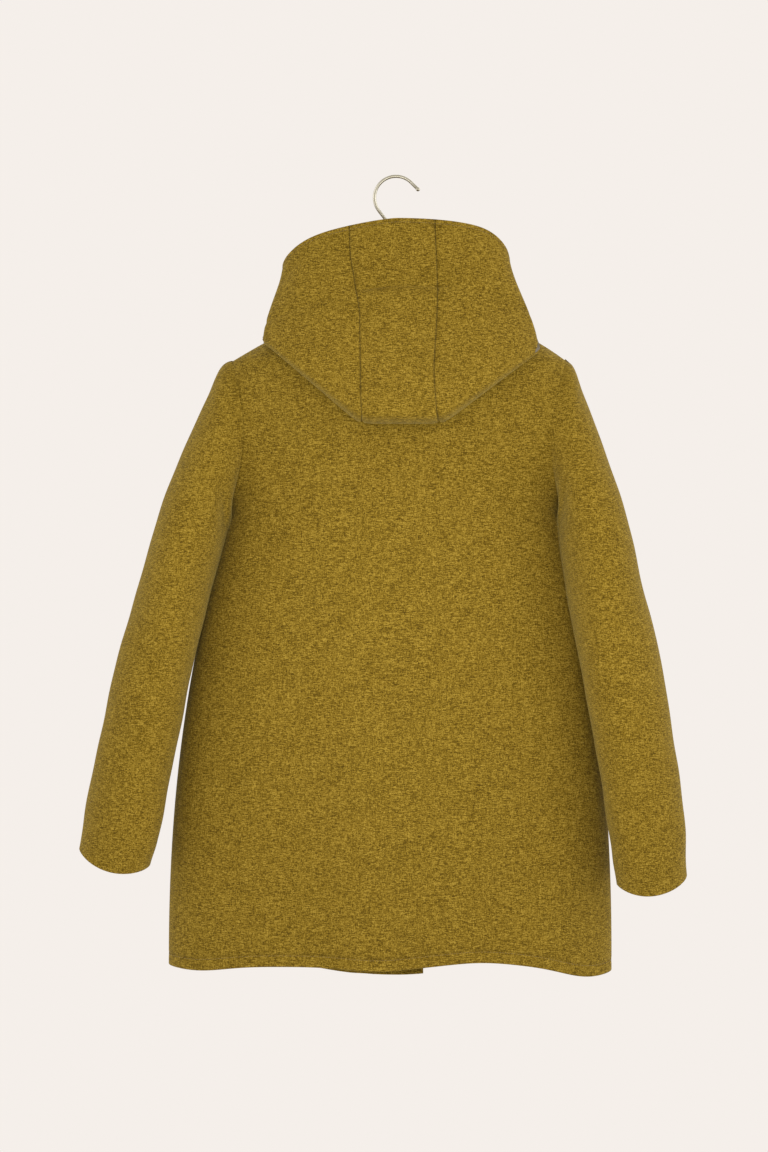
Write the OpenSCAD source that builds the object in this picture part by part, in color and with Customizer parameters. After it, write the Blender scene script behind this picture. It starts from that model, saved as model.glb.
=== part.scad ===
// Hooded wool duffle coat on a hanger. Millimetres, +Z up, the back of the coat towards +Y.
// The origin is the seat of the hanger's hook, where the rail carries it.

/* [Coat body] */
// Drop from the hook seat to the neck seam
neck_drop = 158; // [152:1:164]
// Drop from the hook seat to the shoulder tips
shoulder_drop = 222; // [216:1:228]
// Drop from the hook seat to the armpits
armpit_drop = 400; // [390:1:410]
// Drop from the hook seat to the back hem
hem_drop = 939; // [900:1:960]
// How much lower the front hem hangs at the centre
front_extra = 30; // [10:1:34]
// Half width across the neck seam
neck_half = 78; // [74:1:82]
// Half width across the shoulder tips
shoulder_half = 199; // [194:1:202]
// Half width of the body at the armpits
chest_half = 198; // [190:1:200]
// Extra half width of the chest between shoulder tip and armpit, inside the sleeve head
chest_fullness = 20; // [10:1:24]
// Half width of the body at the hem
hem_half = 267; // [250:1:270]
// Half depth of the neck seam
neck_depth = 45; // [42:1:48]
// Half depth of the body
body_depth = 82; // [76:1:86]
// How far the body hangs in front of the hanger
body_forward = 20; // [10:1:24]
// Squareness of the body's plan, 2 is an ellipse
squareness = 2.2; // [2:0.1:2.4]
// Thickness of the wool cloth
cloth = 4; // [3:0.5:4]
// Thickness of the lining
satin = 1; // [0.8:0.1:1]

/* [Front] */
// Where the left front's edge lies past the centre
left_edge = -34; // [-38:1:-30]
// Where the right front's edge lies past the centre
right_edge = 30; // [24:1:32]
// Distance of the fold lines from the centre
fold_x = 112; // [110:1:116]
// Drop to the seam across the chest
chest_drop = 285; // [275:1:295]
// Drop to the first toggle
toggle_drop = 335; // [330:1:345]
// Distance between toggles
toggle_pitch = 130; // [120:1:135]
// Length of a toggle
toggle_len = 46; // [40:1:50]
// Diameter of a toggle
toggle_dia = 11; // [10:0.5:12]
// Diameter of the toggle cords and loops
cord_dia = 3.5; // [3:0.5:4]
// Width of a leather tab
tab_w = 38; // [34:1:40]
// Height of a leather tab
tab_h = 44; // [40:1:50]
// Thickness of a leather tab
tab_t = 2; // [1.5:0.5:2.5]

/* [Pockets] */
// Drop to the top of the pocket flaps
pocket_drop = 600; // [590:1:620]
// Height of a pocket below its flap's top
pocket_h = 170; // [150:1:180]
// Height of a pocket flap
flap_h = 58; // [50:1:65]
// Side of the pocket nearest the centre
pocket_in = 120; // [118:1:124]
// Side of the pocket furthest from the centre
pocket_out = 205; // [195:1:208]

/* [Sleeves] */
// Half depth of the armhole
armhole_depth = 54; // [50:1:56]
// Half depth of the cuffs
cuff_depth = 46; // [42:1:48]

/* [Hood] */
// Height of the hood's rim below the hook seat, at the back
rim_drop = 57; // [52:1:60]
// Half width of the hood's rim
rim_half = 138; // [130:1:142]
// Drop to the hood's lowest fold
pouch_drop = 290; // [280:1:294]
// Half width of the pouch
pouch_half = 165; // [158:1:168]
// How far the pouch stands out behind
pouch_reach = 84; // [76:1:90]
// Half width of the hood's centre panel
centre_half = 48; // [44:1:52]

/* [Hanger] */
// Thickness of the hook's wire
wire = 4; // [3.6:0.2:4.4]
// Radius of the hook inside the wire
hook_r = 23.8; // [22:0.2:25]
// Drop to the top of the hanger's hub
hub_drop = 98; // [94:1:104]
// Thickness of the wooden bar
bar_t = 22; // [18:1:26]

/* [Hidden] */
// Cloth colours, leather, wood and metal
wool = "#93782b";
wool_shade = "#80671f";
satin_colour = "#6b5a2c";
hide = "#5a3a20";
wood_colour = "#a67442";
metal = "#c9c5bb";
// Clear gap between pieces
gap = 0.4;
// Slack between the wool and its lining
slack = 1.6;
// Half angle left open at the side seams
seam_angle = 0.15;
// Outward step of the left front where it lies over the right
lap = cloth + slack + satin + 1.2;
// Sleeve outer and inner edges as [x, z] control points, from the armhole to the cuff
left_outer = [[202.5, -224], [278, -340], [335, -560], [381, -804]];
left_inner = [[200.5, -398], [241, -480], [252, -690], [292, -826]];
right_outer = [[205, -224], [264, -330], [324, -560], [349, -832]];
right_inner = [[203, -398], [227, -480], [246, -690], [263, -848]];
// How far behind the hanger each cuff hangs
left_cuff_y = 16;
right_cuff_y = 38;

// Blends and curves
function mix(a, b, t) = a + (b - a) * t;
function clamp(t) = min(1, max(0, t));
function ease(t) = let (c = clamp(t)) c * c * (3 - 2 * c);
function bezier(p, t) = pow(1 - t, 3) * p[0] + 3 * pow(1 - t, 2) * t * p[1]
    + 3 * (1 - t) * t * t * p[2] + t * t * t * p[3];
function spow(v, e) = sign(v) * pow(abs(v), e);

// Body plan at each height
function centre_x(z) = let (t = clamp((-shoulder_drop - z) / (hem_drop - shoulder_drop)))
    mix(-4, 7, t) + 3 * sin(180 * t);
function centre_y(z) = -body_forward * ease((-shoulder_drop - z) / 160);
function half_width(z) =
    z > -shoulder_drop ? mix(neck_half, shoulder_half, clamp((-neck_drop - z) / (shoulder_drop - neck_drop)))
    : z > -armpit_drop ? let (t = (-shoulder_drop - z) / (armpit_drop - shoulder_drop))
        mix(shoulder_half, chest_half, t) + chest_fullness * sin(180 * t)
    : hem_half - (hem_half - chest_half) * pow(clamp((z + hem_drop) / (hem_drop - armpit_drop)), 2.2);
function half_depth(z) = mix(neck_depth, body_depth, 1 - exp(-(-neck_drop - z) / 90));

// Point of the body's skin at plan angle phi, height z, moved out by off
function skin(phi, z, off) = [
    centre_x(z) + (half_width(z) + off) * spow(cos(phi), 2 / squareness),
    centre_y(z) + (half_depth(z) + off) * spow(sin(phi), 2 / squareness),
    z
];
// Plan angle, 0 to 180, where the skin moved out by off passes x
function phi_at(x, z, off = 0) = let (r = (x - centre_x(z)) / (half_width(z) + off))
    r >= 0 ? acos(min(1, pow(r, squareness / 2))) : 180 - acos(min(1, pow(-r, squareness / 2)));
// Depth of the front surface at x, moved out by off
function front_y(x, z, off) = skin(-phi_at(x, z, off), z, off)[1];

// Armhole: the body stops short of its side between shoulder tip and armpit
function armhole_x(z) = 190 + 9 * pow((z + (shoulder_drop + armpit_drop) / 2) / 89, 2);
function armhole_phi(z) = (z < -armpit_drop || z > -shoulder_drop) ? seam_angle
    : max(seam_angle, acos(min(1, pow(armhole_x(z) / half_width(z), squareness / 2))));

// Front hems: the left one dips towards the centre, and the right one hangs level under it
function left_hem(x) = -hem_drop - 2 - (front_extra - 2) * exp(-pow(x / 130, 2));
right_hem = -hem_drop - 2;

// Closed slab between an outer and an inner surface, each a function of u and v from 0 to 1
module slab(nu, nv, outer, inner) {
    w = nu + 1;
    n = w * (nv + 1);
    points = [for (f = [outer, inner], j = [0:nv], i = [0:nu]) f(i / nu, j / nv)];
    edge = concat(
        [for (i = [0:nu]) i], [for (j = [1:nv]) j * w + nu],
        [for (i = [nu - 1:-1:0]) nv * w + i], [for (j = [nv - 1:-1:1]) j * w]
    );
    m = len(edge);
    faces = concat(
        [for (j = [0:nv - 1], i = [0:nu - 1], k = [0, 1]) let (a = j * w + i)
            k == 0 ? [a, a + w + 1, a + 1] : [a, a + w, a + w + 1]],
        [for (j = [0:nv - 1], i = [0:nu - 1], k = [0, 1]) let (a = n + j * w + i)
            k == 0 ? [a, a + 1, a + w + 1] : [a, a + w + 1, a + w]],
        [for (i = [0:m - 1], k = [0, 1]) let (a = edge[i], b = edge[(i + 1) % m])
            k == 0 ? [a, b, b + n] : [a, b + n, a + n]]
    );
    polyhedron(points, faces, convexity = 10);
}

// Closed tube wall: u runs round, v runs along
module tube_wall(nu, nv, outer, inner) {
    n = nu * (nv + 1);
    points = [for (f = [outer, inner], j = [0:nv], i = [0:nu - 1]) f(i / nu, j / nv)];
    faces = concat(
        [for (j = [0:nv - 1], i = [0:nu - 1], k = [0, 1])
            let (a = j * nu + i, b = j * nu + (i + 1) % nu)
            k == 0 ? [a, b + nu, b] : [a, a + nu, b + nu]],
        [for (j = [0:nv - 1], i = [0:nu - 1], k = [0, 1])
            let (a = n + j * nu + i, b = n + j * nu + (i + 1) % nu)
            k == 0 ? [a, b, b + nu] : [a, b + nu, a + nu]],
        [for (i = [0:nu - 1], k = [0, 1]) let (a = i, b = (i + 1) % nu)
            k == 0 ? [a, b, b + n] : [a, b + n, a + n]],
        [for (i = [0:nu - 1], k = [0, 1]) let (a = nv * nu + i, b = nv * nu + (i + 1) % nu)
            k == 0 ? [a, b + n, b] : [a, a + n, b + n]]
    );
    polyhedron(points, faces, convexity = 10);
}

// Heights from the neck to the hem, closer together over the shoulders
function back_z(v, hem) = v < 0.3 ? mix(-neck_drop, -armpit_drop, v / 0.3) : mix(-armpit_drop, hem, (v - 0.3) / 0.7);

module back_panel() {
    function at(u, v, o) = let (z = back_z(v, -hem_drop), p = armhole_phi(z)) skin(mix(180 - p, p, u), z, o);
    color(wool) slab(24, 26, function(u, v) at(u, v, 0), function(u, v) at(u, v, -cloth));
}

// The lining starts under the neck facing
facing_drop = neck_drop + 60;
module body_lining() {
    function at(u, v, o) = let (z = mix(-facing_drop - 2, -hem_drop + 22, v), p = armhole_phi(z) + 2)
        skin(mix(180 - p, p, u), z, o);
    off = -cloth - 1.6 * slack;
    color(satin_colour) slab(24, 26, function(u, v) at(u, v, off), function(u, v) at(u, v, off - satin));
}

// Outward step of the left front over the right
function lap_step(x) = lap * ease((right_edge + 28 - x) / 24);

// Chest part of a front, from the armhole to the front edge
module chest_cloth(side, edge_x, step) {
    function at(u, v, o) = let (
        z = mix(-neck_drop, -chest_drop, v), s = armhole_phi(z),
        e = phi_at(max(-half_width(z) * 0.97, min(half_width(z) * 0.97, edge_x)), z),
        phi = side > 0 ? mix(s, e, u) : mix(180 - s, e, u),
        flat = skin(-phi, z, o)
    ) flat - [0, step ? lap_step(flat[0]) : 0, 0];
    if (side > 0) {
        slab(12, 8, function(u, v) at(1 - u, v, 0), function(u, v) at(1 - u, v, -cloth));
    } else {
        slab(12, 8, function(u, v) at(u, v, 0), function(u, v) at(u, v, -cloth));
    }
}

module front_left_chest() {
    color(wool) chest_cloth(1, left_edge, true);
}

module front_right_chest() {
    color(wool) chest_cloth(-1, right_edge, false);
}

// Side part of a front, from the side seam to the fold line
module side_cloth(side) {
    function at(u, v, o) = let (
        x = mix(fold_x, hem_half, side > 0 ? u : 1 - u),
        z = mix(-chest_drop - gap, side > 0 ? left_hem(x) : right_hem, v), s = armhole_phi(z),
        e = phi_at(side * (fold_x + gap), z, o),
        phi = side > 0 ? mix(e, s, u) : mix(180 - s, e, u)
    ) skin(-phi, z, o);
    slab(8, 22, function(u, v) at(u, v, 0), function(u, v) at(u, v, -cloth));
}

module front_left_side() {
    color(wool) side_cloth(1);
}

module front_right_side() {
    color(wool) side_cloth(-1);
}

// Free part of a front, from the fold line to the front edge
module edge_cloth(x0, x1, nu, off, thick, step, top, up) {
    function at(u, v, o) = let (
        x = mix(x0, x1, u), z = mix(top, (step ? left_hem(x) : right_hem) + up, v)
    ) [x, front_y(x, z, o) - (step ? lap_step(x) : 0), z];
    slab(nu, 20, function(u, v) at(u, v, off), function(u, v) at(u, v, off - thick));
}

module front_left_edge() {
    color(wool) edge_cloth(left_edge, fold_x - gap, 10, 0, cloth, true, -chest_drop - gap, 0);
}

module front_right_edge() {
    color(wool) edge_cloth(gap - fold_x, right_edge, 10, 0, cloth, false, -chest_drop - gap, 0);
}

module facing_left() {
    color(wool_shade)
        edge_cloth(left_edge + 2, left_edge + 82, 8, -cloth - slack, satin, true, -chest_drop - 4, 12);
}

module facing_right() {
    color(wool_shade)
        edge_cloth(right_edge - 82, right_edge - 2, 6, -cloth - slack, satin, false, -chest_drop - 4, 12);
}

// Facing and label inside the back of the neck, and the loop that hangs the coat
module back_neck_facing() {
    function at(u, v, o) = skin(mix(150, 30, u), mix(-neck_drop - 1, -facing_drop, v), o);
    inside = -cloth - slack;
    color(wool_shade)
        slab(10, 5, function(u, v) at(u, v, inside), function(u, v) at(u, v, inside - satin));
}

module neck_label() {
    inside = -cloth - slack - satin - 2 * gap;
    function at(u, v, o) = skin(mix(108, 72, u), mix(-neck_drop - 28, -neck_drop - 52, v), o);
    color("ivory")
        slab(4, 3, function(u, v) at(u, v, inside), function(u, v) at(u, v, inside - 0.8));
}

module hanging_loop() {
    strap = 1.6;
    inside = -front_y(40, -neck_drop - 11, -cloth - slack - satin);
    color(wool_shade) translate([0, inside, -neck_drop - 14]) {
        for (x = [-34, 34]) translate([x - 5, -5 - gap, -3]) cube([10, 5, 6]);
        translate([-39, -5 - gap - strap, -3]) cube([78, strap, 6]);
    }
}

// Patch of cloth on a front between two x, at an offset from the skin
module front_patch(side, x0, x1, z0, z1, off, thick, nu, nv) {
    function at(u, v, o) = let (x = side * (side > 0 ? mix(x0, x1, u) : mix(x1, x0, u)), z = mix(z0, z1, v))
        skin(-phi_at(x, z), z, o);
    slab(nu, nv, function(u, v) at(u, v, off + thick), function(u, v) at(u, v, off));
}

module pocket(side) {
    front_patch(side, pocket_in, pocket_out, -pocket_drop - 8, -pocket_drop - pocket_h, gap, 3, 6, 6);
}

module pocket_flap(side) {
    front_patch(side, pocket_in - 1, pocket_out + 1, -pocket_drop, -pocket_drop - flap_h, 5, 3, 6, 3);
}

module pocket_left() {
    color(wool) pocket(1);
}

module pocket_right() {
    color(wool) pocket(-1);
}

module pocket_flap_left() {
    color(wool) pocket_flap(1);
}

module pocket_flap_right() {
    color(wool) pocket_flap(-1);
}

// Heights of the toggles
function toggle_z(i) = -toggle_drop - i * toggle_pitch;
// Centres of the leather tabs
loop_tab_x = left_edge + 9 + tab_w / 2;
toggle_tab_x = -fold_x + 4 + tab_w / 2;
toggle_x = -55;
// Lean of the front at a height, and how far its surface stands forward there at x
function tip_at(z) = atan((front_y(0, z + tab_h / 2, 0) - front_y(0, z - tab_h / 2, 0)) / tab_h);
// Depth of each tab's back face, in front of the cloth under it
function loop_tab_y(z) = front_y(0, z, 0) - lap - 1.2;
function toggle_tab_y(z) = front_y(toggle_tab_x + tab_w / 2, z, 0) - 1.2;

// Leather tab with round corners, its back face at y, tipped to follow the cloth behind it
module tab(x, y, z, tip) {
    r = 7;
    translate([x, y, z]) rotate([90 - tip, 0, 0]) linear_extrude(tab_t)
        union() {
            square([tab_w - 2 * r, tab_h], center = true);
            square([tab_w, tab_h - 2 * r], center = true);
            for (sx = [-1, 1], sz = [-1, 1])
                translate([sx * (tab_w / 2 - r), sz * (tab_h / 2 - r)]) circle(r, $fn = 48);
        }
}

module loop_tabs() {
    color(hide) for (i = [0:3], z = toggle_z(i)) tab(loop_tab_x, loop_tab_y(z), z, tip_at(z));
}

module toggle_tabs() {
    color(hide) for (i = [0:3], z = toggle_z(i)) tab(toggle_tab_x, toggle_tab_y(z), z, tip_at(z));
}

// Cord bent into a narrow loop that points from x0 to x1
module cord_loop(x0, x1, y, z, spread) {
    dir = sign(x1 - x0);
    straight = abs(x1 - x0) - spread / 2 - cord_dia / 2;
    translate([x0, y, z]) mirror([dir < 0 ? 1 : 0, 0, 0]) {
        for (s = [-1, 1])
            translate([0, 0, s * spread / 2]) rotate([0, 90, 0]) cylinder(h = straight, d = cord_dia, $fn = 24);
        translate([straight, 0, 0]) rotate([90, 90, 0])
            rotate_extrude(angle = 180, $fn = 48) translate([spread / 2, 0]) circle(d = cord_dia, $fn = 24);
    }
}

module loops() {
    color(hide) for (i = [0:3])
        cord_loop(loop_tab_x - tab_w / 2 - 0.2, -45.5, loop_tab_y(toggle_z(i)) - cord_dia / 2, toggle_z(i), 12);
}

// Toggle: a wooden bar, thicker at its waist, upright beside its tab
function toggle_y(i) = front_y(toggle_x + toggle_dia / 2, toggle_z(i) - toggle_len / 2, 0) - toggle_dia / 2 - 1;

module toggle(i) {
    e = toggle_dia * 0.32;
    l = toggle_len / 2;
    translate([toggle_x, toggle_y(i), toggle_z(i)]) rotate_extrude($fn = 48)
        polygon([
            [0, -l], [e * 0.7, -l + 0.4], [e, -l + 2], [toggle_dia * 0.47, -l / 2], [toggle_dia / 2, -4],
            [toggle_dia / 2, 4], [toggle_dia * 0.47, l / 2], [e, l - 2], [e * 0.7, l - 0.4], [0, l]
        ]);
}

// Cord from the tab to the toggle's waist
module toggle_cord(i) {
    start = toggle_tab_x + tab_w / 2 + 1;
    end = toggle_x - toggle_dia / 2 - 0.1;
    for (s = [-1, 1])
        translate([start, toggle_tab_y(toggle_z(i)) - cord_dia / 2, toggle_z(i) + s * cord_dia * 0.6])
            rotate([0, 90, 0]) cylinder(h = end - start, d = cord_dia, $fn = 24);
}

// Ring of a sleeve between its outer and inner edge, at t from armhole to cuff
module sleeve_cloth(side, outer, inner, cuff_y, nu, nv, off, thick, last) {
    function at(u, t, o) = let (
        a = bezier(outer, t), b = bezier(inner, t), c = (a + b) / 2, d = (a - b) / norm(a - b),
        p = norm(a - b) / 2 + o, q = mix(66, cuff_depth, t) - (66 - armhole_depth) * pow(1 - t, 6) + o,
        y = mix(-6, cuff_y, ease(t * 1.8)), k = 360 * u
    ) [side * (c[0] + d[0] * p * cos(k)), y + q * sin(k), c[1] + d[1] * p * cos(k)];
    if (side > 0) {
        tube_wall(nu, nv, function(u, v) at(u, v * last, off), function(u, v) at(u, v * last, off - thick));
    } else {
        tube_wall(nu, nv, function(u, v) at(-u, v * last, off), function(u, v) at(-u, v * last, off - thick));
    }
}

module sleeve_left() {
    color(wool) sleeve_cloth(1, left_outer, left_inner, left_cuff_y, 24, 18, 0, cloth, 1);
}

module sleeve_right() {
    color(wool) sleeve_cloth(-1, right_outer, right_inner, right_cuff_y, 24, 18, 0, cloth, 1);
}

module sleeve_left_lining() {
    color(satin_colour)
        sleeve_cloth(1, left_outer, left_inner, left_cuff_y, 16, 12, -cloth - slack, satin, 0.96);
}

module sleeve_right_lining() {
    color(satin_colour)
        sleeve_cloth(-1, right_outer, right_inner, right_cuff_y, 16, 12, -cloth - slack, satin, 0.96);
}

// Hood: ribs run from the neck seam down the coat's back, round the fold and up to the rim
neck_z = -neck_drop + 2.5;
// Depth of a surface that clears the coat's back and shoulders
function clear_y(x, z) = centre_y(z) + (half_depth(z) + 5)
    * pow(max(0, 1 - pow(abs(x - centre_x(z)) / (half_width(z) + 14), squareness)), 1 / squareness);
function fold_z(th) = mix(-pouch_drop, -neck_drop - 20, pow(abs(sin(th)), 2.4));
function rim_z(th) = -rim_drop - 48 * pow(abs(sin(th)), 3.5);
function rim_point(th) = [rim_half * sin(th), 10 + 60 * cos(th), rim_z(th)];
function inner_leg(th, t) = let (
    x = mix(neck_half * sin(th), pouch_half * sin(th), ease(t)), z = mix(neck_z, fold_z(th), t)
) [x, clear_y(x, z), z];
function outer_leg(th, t) = let (b = inner_leg(th, 1)) bezier([
    b, b + [5 * sin(th), 42 * cos(th) + 2, -24 * pow(cos(th), 2) - 6],
    [(pouch_half + 16) * sin(th), 10 + pouch_reach * cos(th), mix(-118, -140, pow(sin(th), 2))], rim_point(th)
], t);
function hood_skin(th, v) = v < 0.4 ? inner_leg(th, v / 0.4) : outer_leg(th, (v - 0.4) / 0.6);
function unit(v) = v / norm(v);
function hood_at(th, v, off) = let (
    d = 0.004,
    across = hood_skin(th + 1, v) - hood_skin(th - 1, v),
    along = hood_skin(th, min(1, v + d)) - hood_skin(th, max(0, v - d))
) hood_skin(th, v) + off * unit(cross(along, across));

// Plan angle of the seam between the hood's centre and side panels
function seam_th(v) = asin(centre_half / mix(neck_half, rim_half + 18, ease(v / 0.4)));
hood_side_th = 88;
rim_start = 0.94;

// Part of the hood between two angles that follow v
module hood_cloth(nu, nv, from, to, v0, v1, off, thick) {
    function at(u, v, o) = let (s = mix(v0, v1, v)) hood_at(mix(to(s), from(s), u), s, o);
    slab(nu, nv, function(u, v) at(u, v, off), function(u, v) at(u, v, off - thick));
}

module hood_centre_panel() {
    color(wool) hood_cloth(8, 26, function(v) 0.2 - seam_th(v), function(v) seam_th(v) - 0.2, 0, 1, 0, cloth);
}

module hood_left_panel() {
    color(wool) hood_cloth(10, 26, function(v) seam_th(v), function(v) hood_side_th, 0, 1, 0, cloth);
}

module hood_right_panel() {
    color(wool) hood_cloth(10, 26, function(v) -hood_side_th, function(v) -seam_th(v), 0, 1, 0, cloth);
}

module hood_rim_facing() {
    color(wool_shade) hood_cloth(22, 2, function(v) -hood_side_th, function(v) hood_side_th,
        rim_start, 1, -cloth - slack, satin);
}

module hood_lining() {
    color(satin_colour) hood_cloth(20, 14, function(v) -hood_side_th, function(v) hood_side_th,
        0.06, rim_start - 0.02, -cloth - slack, satin);
}

// Front of the hood's side panels, sewn round the neck to the throat
module throat(side) {
    function at(u, v, o) = let (
        th = mix(110, 166, u), n = [(neck_half + o) * sin(th), (neck_depth + o) * cos(th), neck_z],
        r = [(rim_half - 4 + o) * sin(th), 6 + (56 + o) * cos(th), -rim_drop - 52 - 34 * pow(cos(th), 2)],
        p = mix(n, r, v) + [14 * sin(th), 8 * cos(th), 0] * sin(180 * v)
    ) [side * p[0], p[1], p[2]];
    if (side > 0) {
        slab(8, 6, function(u, v) at(u, 1 - v, 0), function(u, v) at(u, 1 - v, -cloth));
    } else {
        slab(8, 6, function(u, v) at(1 - u, 1 - v, 0), function(u, v) at(1 - u, 1 - v, -cloth));
    }
}

module hood_left_throat() {
    color(wool) throat(1);
}

module hood_right_throat() {
    color(wool) throat(-1);
}

// Hanger: a wooden bar with two sloping arms, a ferrule in its hub and a swivelling hook
arm_end = [shoulder_half - 22, -shoulder_drop - 13];
arm_root = [0, -hub_drop - 42];

module hanger_bar() {
    color(wood_colour) difference() {
        union() {
            for (s = [-1, 1])
                rotate([90, 0, 0]) linear_extrude(bar_t, center = true) hull() {
                    translate([s * arm_end[0], arm_end[1]]) circle(9, $fn = 32);
                    translate(arm_root) circle(13, $fn = 32);
                }
            translate([0, 0, -hub_drop - 36]) cylinder(h = 36, d = 21, $fn = 64);
        }
        translate([0, 0, -hub_drop - 24]) cylinder(h = 25, d = 8, $fn = 48);
    }
}

module hanger_ferrule() {
    color(metal) difference() {
        union() {
            translate([0, 0, -hub_drop - 20]) cylinder(h = 20, d = 8, $fn = 48);
            translate([0, 0, -hub_drop]) cylinder(h = 2.5, d = 13, $fn = 48);
        }
        translate([0, 0, -hub_drop - 21]) cylinder(h = 25, d = wire + 0.12, $fn = 48);
    }
}

// Hook: an open ring of wire with a straight tip, its shank bent back to the axis it turns on
ring_r = hook_r + wire / 2;
tip_angle = 45;
low_angle = 217.5;
tip_len = 14;
elbow_r = 12;
lean = low_angle - 180;
function on_ring(a) = [ring_r * cos(a), -hook_r + ring_r * sin(a)];

// Closed round bar along a path in the XZ plane, with a radius at each of its points
module wire_along(path, radius, sides) {
    n = len(path);
    points = [for (i = [0:n - 1])
        let (a = path[max(0, i - 1)], b = path[min(n - 1, i + 1)], d = (b - a) / norm(b - a))
        for (k = [0:sides - 1]) let (c = radius[i] * cos(360 * k / sides))
            [path[i][0] + d[1] * c, radius[i] * sin(360 * k / sides), path[i][1] - d[0] * c]];
    faces = concat(
        [for (i = [0:n - 2], k = [0:sides - 1], h = [0, 1])
            let (a = i * sides + k, b = i * sides + (k + 1) % sides)
            h == 0 ? [a, b + sides, b] : [a, a + sides, b + sides]],
        [[for (k = [0:sides - 1]) k], [for (k = [sides - 1:-1:0]) (n - 1) * sides + k]]
    );
    polyhedron(points, faces, convexity = 10);
}

module hanger_hook() {
    start = on_ring(low_angle);
    d = [-sin(low_angle), cos(low_angle)];
    run = (-start[0] - elbow_r * (1 - cos(lean))) / d[0];
    elbow = [-elbow_r, start[1] + run * d[1] - elbow_r * sin(lean)];
    out = [sin(tip_angle), -cos(tip_angle)];
    tip = on_ring(tip_angle) + tip_len * out;
    ball = wire / 2 + 0.5;
    steps = [0.1, 0.4, 0.9, 1.6, 2.5, 3.4, 4];
    path = concat(
        [for (s = steps) tip - s * out],
        [for (i = [0:30]) on_ring(mix(tip_angle, low_angle, i / 30))],
        [for (i = [0:6]) let (a = lean * (1 - i / 6)) elbow + elbow_r * [cos(a), sin(a)]]
    );
    radius = [for (i = [0:len(path) - 1])
        i < len(steps) - 1 ? sqrt(ball * ball - pow(ball - steps[i], 2)) : wire / 2];
    foot = -hub_drop - 20.5;
    color(metal) mirror([1, 0, 0]) {
        wire_along(path, radius, 16);
        translate([0, 0, foot]) cylinder(h = elbow[1] - foot - 0.15, d = wire, $fn = 32);
        translate([0, 0, foot - 2]) cylinder(h = 2, d = 6.4, $fn = 32);
    }
}

back_panel();
front_left_chest();
front_right_chest();
front_left_side();
front_right_side();
body_lining();
back_neck_facing();
hanging_loop();
neck_label();
pocket_left();
pocket_right();
pocket_flap_left();
pocket_flap_right();
front_left_edge();
front_right_edge();
facing_left();
facing_right();
loop_tabs();
loops();
toggle_tabs();
color(wood_colour) toggle(0);  // toggle_1
color(wood_colour) toggle(1);  // toggle_2
color(wood_colour) toggle(2);  // toggle_3
color(wood_colour) toggle(3);  // toggle_4
color(hide) toggle_cord(0);  // toggle_cord_1
color(hide) toggle_cord(1);  // toggle_cord_2
color(hide) toggle_cord(2);  // toggle_cord_3
color(hide) toggle_cord(3);  // toggle_cord_4
sleeve_left();
sleeve_right();
sleeve_left_lining();
sleeve_right_lining();
hood_centre_panel();
hood_left_panel();
hood_right_panel();
hood_rim_facing();
hood_lining();
hood_left_throat();
hood_right_throat();
hanger_bar();
hanger_ferrule();
hanger_hook();
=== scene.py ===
"""Looks of the hooded duffle coat on its hanger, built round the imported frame.

Metres, +Z up, and the coat's back towards +Y.
"""

import bpy
import numpy as np
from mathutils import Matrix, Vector


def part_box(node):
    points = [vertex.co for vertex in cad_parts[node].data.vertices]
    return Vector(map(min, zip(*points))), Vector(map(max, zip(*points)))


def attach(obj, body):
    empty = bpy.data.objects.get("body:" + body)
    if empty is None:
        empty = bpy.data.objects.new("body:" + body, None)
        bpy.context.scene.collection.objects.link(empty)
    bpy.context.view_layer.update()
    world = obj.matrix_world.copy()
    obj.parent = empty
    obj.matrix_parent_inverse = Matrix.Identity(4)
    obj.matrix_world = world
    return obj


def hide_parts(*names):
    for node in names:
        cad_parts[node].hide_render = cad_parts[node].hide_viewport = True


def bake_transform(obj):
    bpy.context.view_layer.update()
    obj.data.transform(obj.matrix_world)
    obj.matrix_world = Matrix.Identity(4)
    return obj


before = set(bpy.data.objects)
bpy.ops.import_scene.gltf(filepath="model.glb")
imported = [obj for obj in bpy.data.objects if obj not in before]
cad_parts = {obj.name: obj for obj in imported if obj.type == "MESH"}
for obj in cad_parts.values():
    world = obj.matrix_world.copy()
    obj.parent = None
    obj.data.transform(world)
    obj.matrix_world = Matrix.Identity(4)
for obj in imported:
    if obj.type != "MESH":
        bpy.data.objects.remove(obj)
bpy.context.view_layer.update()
PI = np.pi

# Sizes, from the frame's boxes
back_lo, back_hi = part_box("back_panel")
front_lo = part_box("front_left_edge")[0]
hook_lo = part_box("hanger_hook")[0]
bar_lo, bar_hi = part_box("hanger_bar")
ferrule_lo, ferrule_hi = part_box("hanger_ferrule")
NECK_Z, HEM_Z = back_hi.z, back_lo.z
HEM_HALF = (back_hi.x - back_lo.x) / 2
FRONT_DIP = HEM_Z - front_lo.z
SHOULDER_Z, ARMPIT_Z = -0.222, -0.400
NECK_HALF, SHOULDER_HALF, CHEST_HALF, CHEST_FULL = 0.078, 0.203, 0.198, 0.018
NECK_DEPTH, BODY_DEPTH, FORWARD, SQUARE = 0.045, 0.082, 0.020, 2.2
WOOL, SATIN = 0.004, 0.001
CHEST_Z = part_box("front_left_edge")[1].z
LEFT_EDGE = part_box("front_left_edge")[0].x
RIGHT_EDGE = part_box("front_right_edge")[1].x
FOLD_X = 0.112
LAP = 0.0078
WIRE, HOOK_R = 0.004, 0.0238
GRID = 0.0045


# Small mathematics
def mix(a, b, t):
    return a + (b - a) * t


def bell(x, middle, width):
    """Bell curve of height 1."""
    return np.exp(-(((x - middle) / width) ** 2))


def ease(t):
    c = np.clip(t, 0, 1)
    return c * c * (3 - 2 * c)


def spow(v, e):
    return np.sign(v) * np.abs(v) ** e


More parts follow.
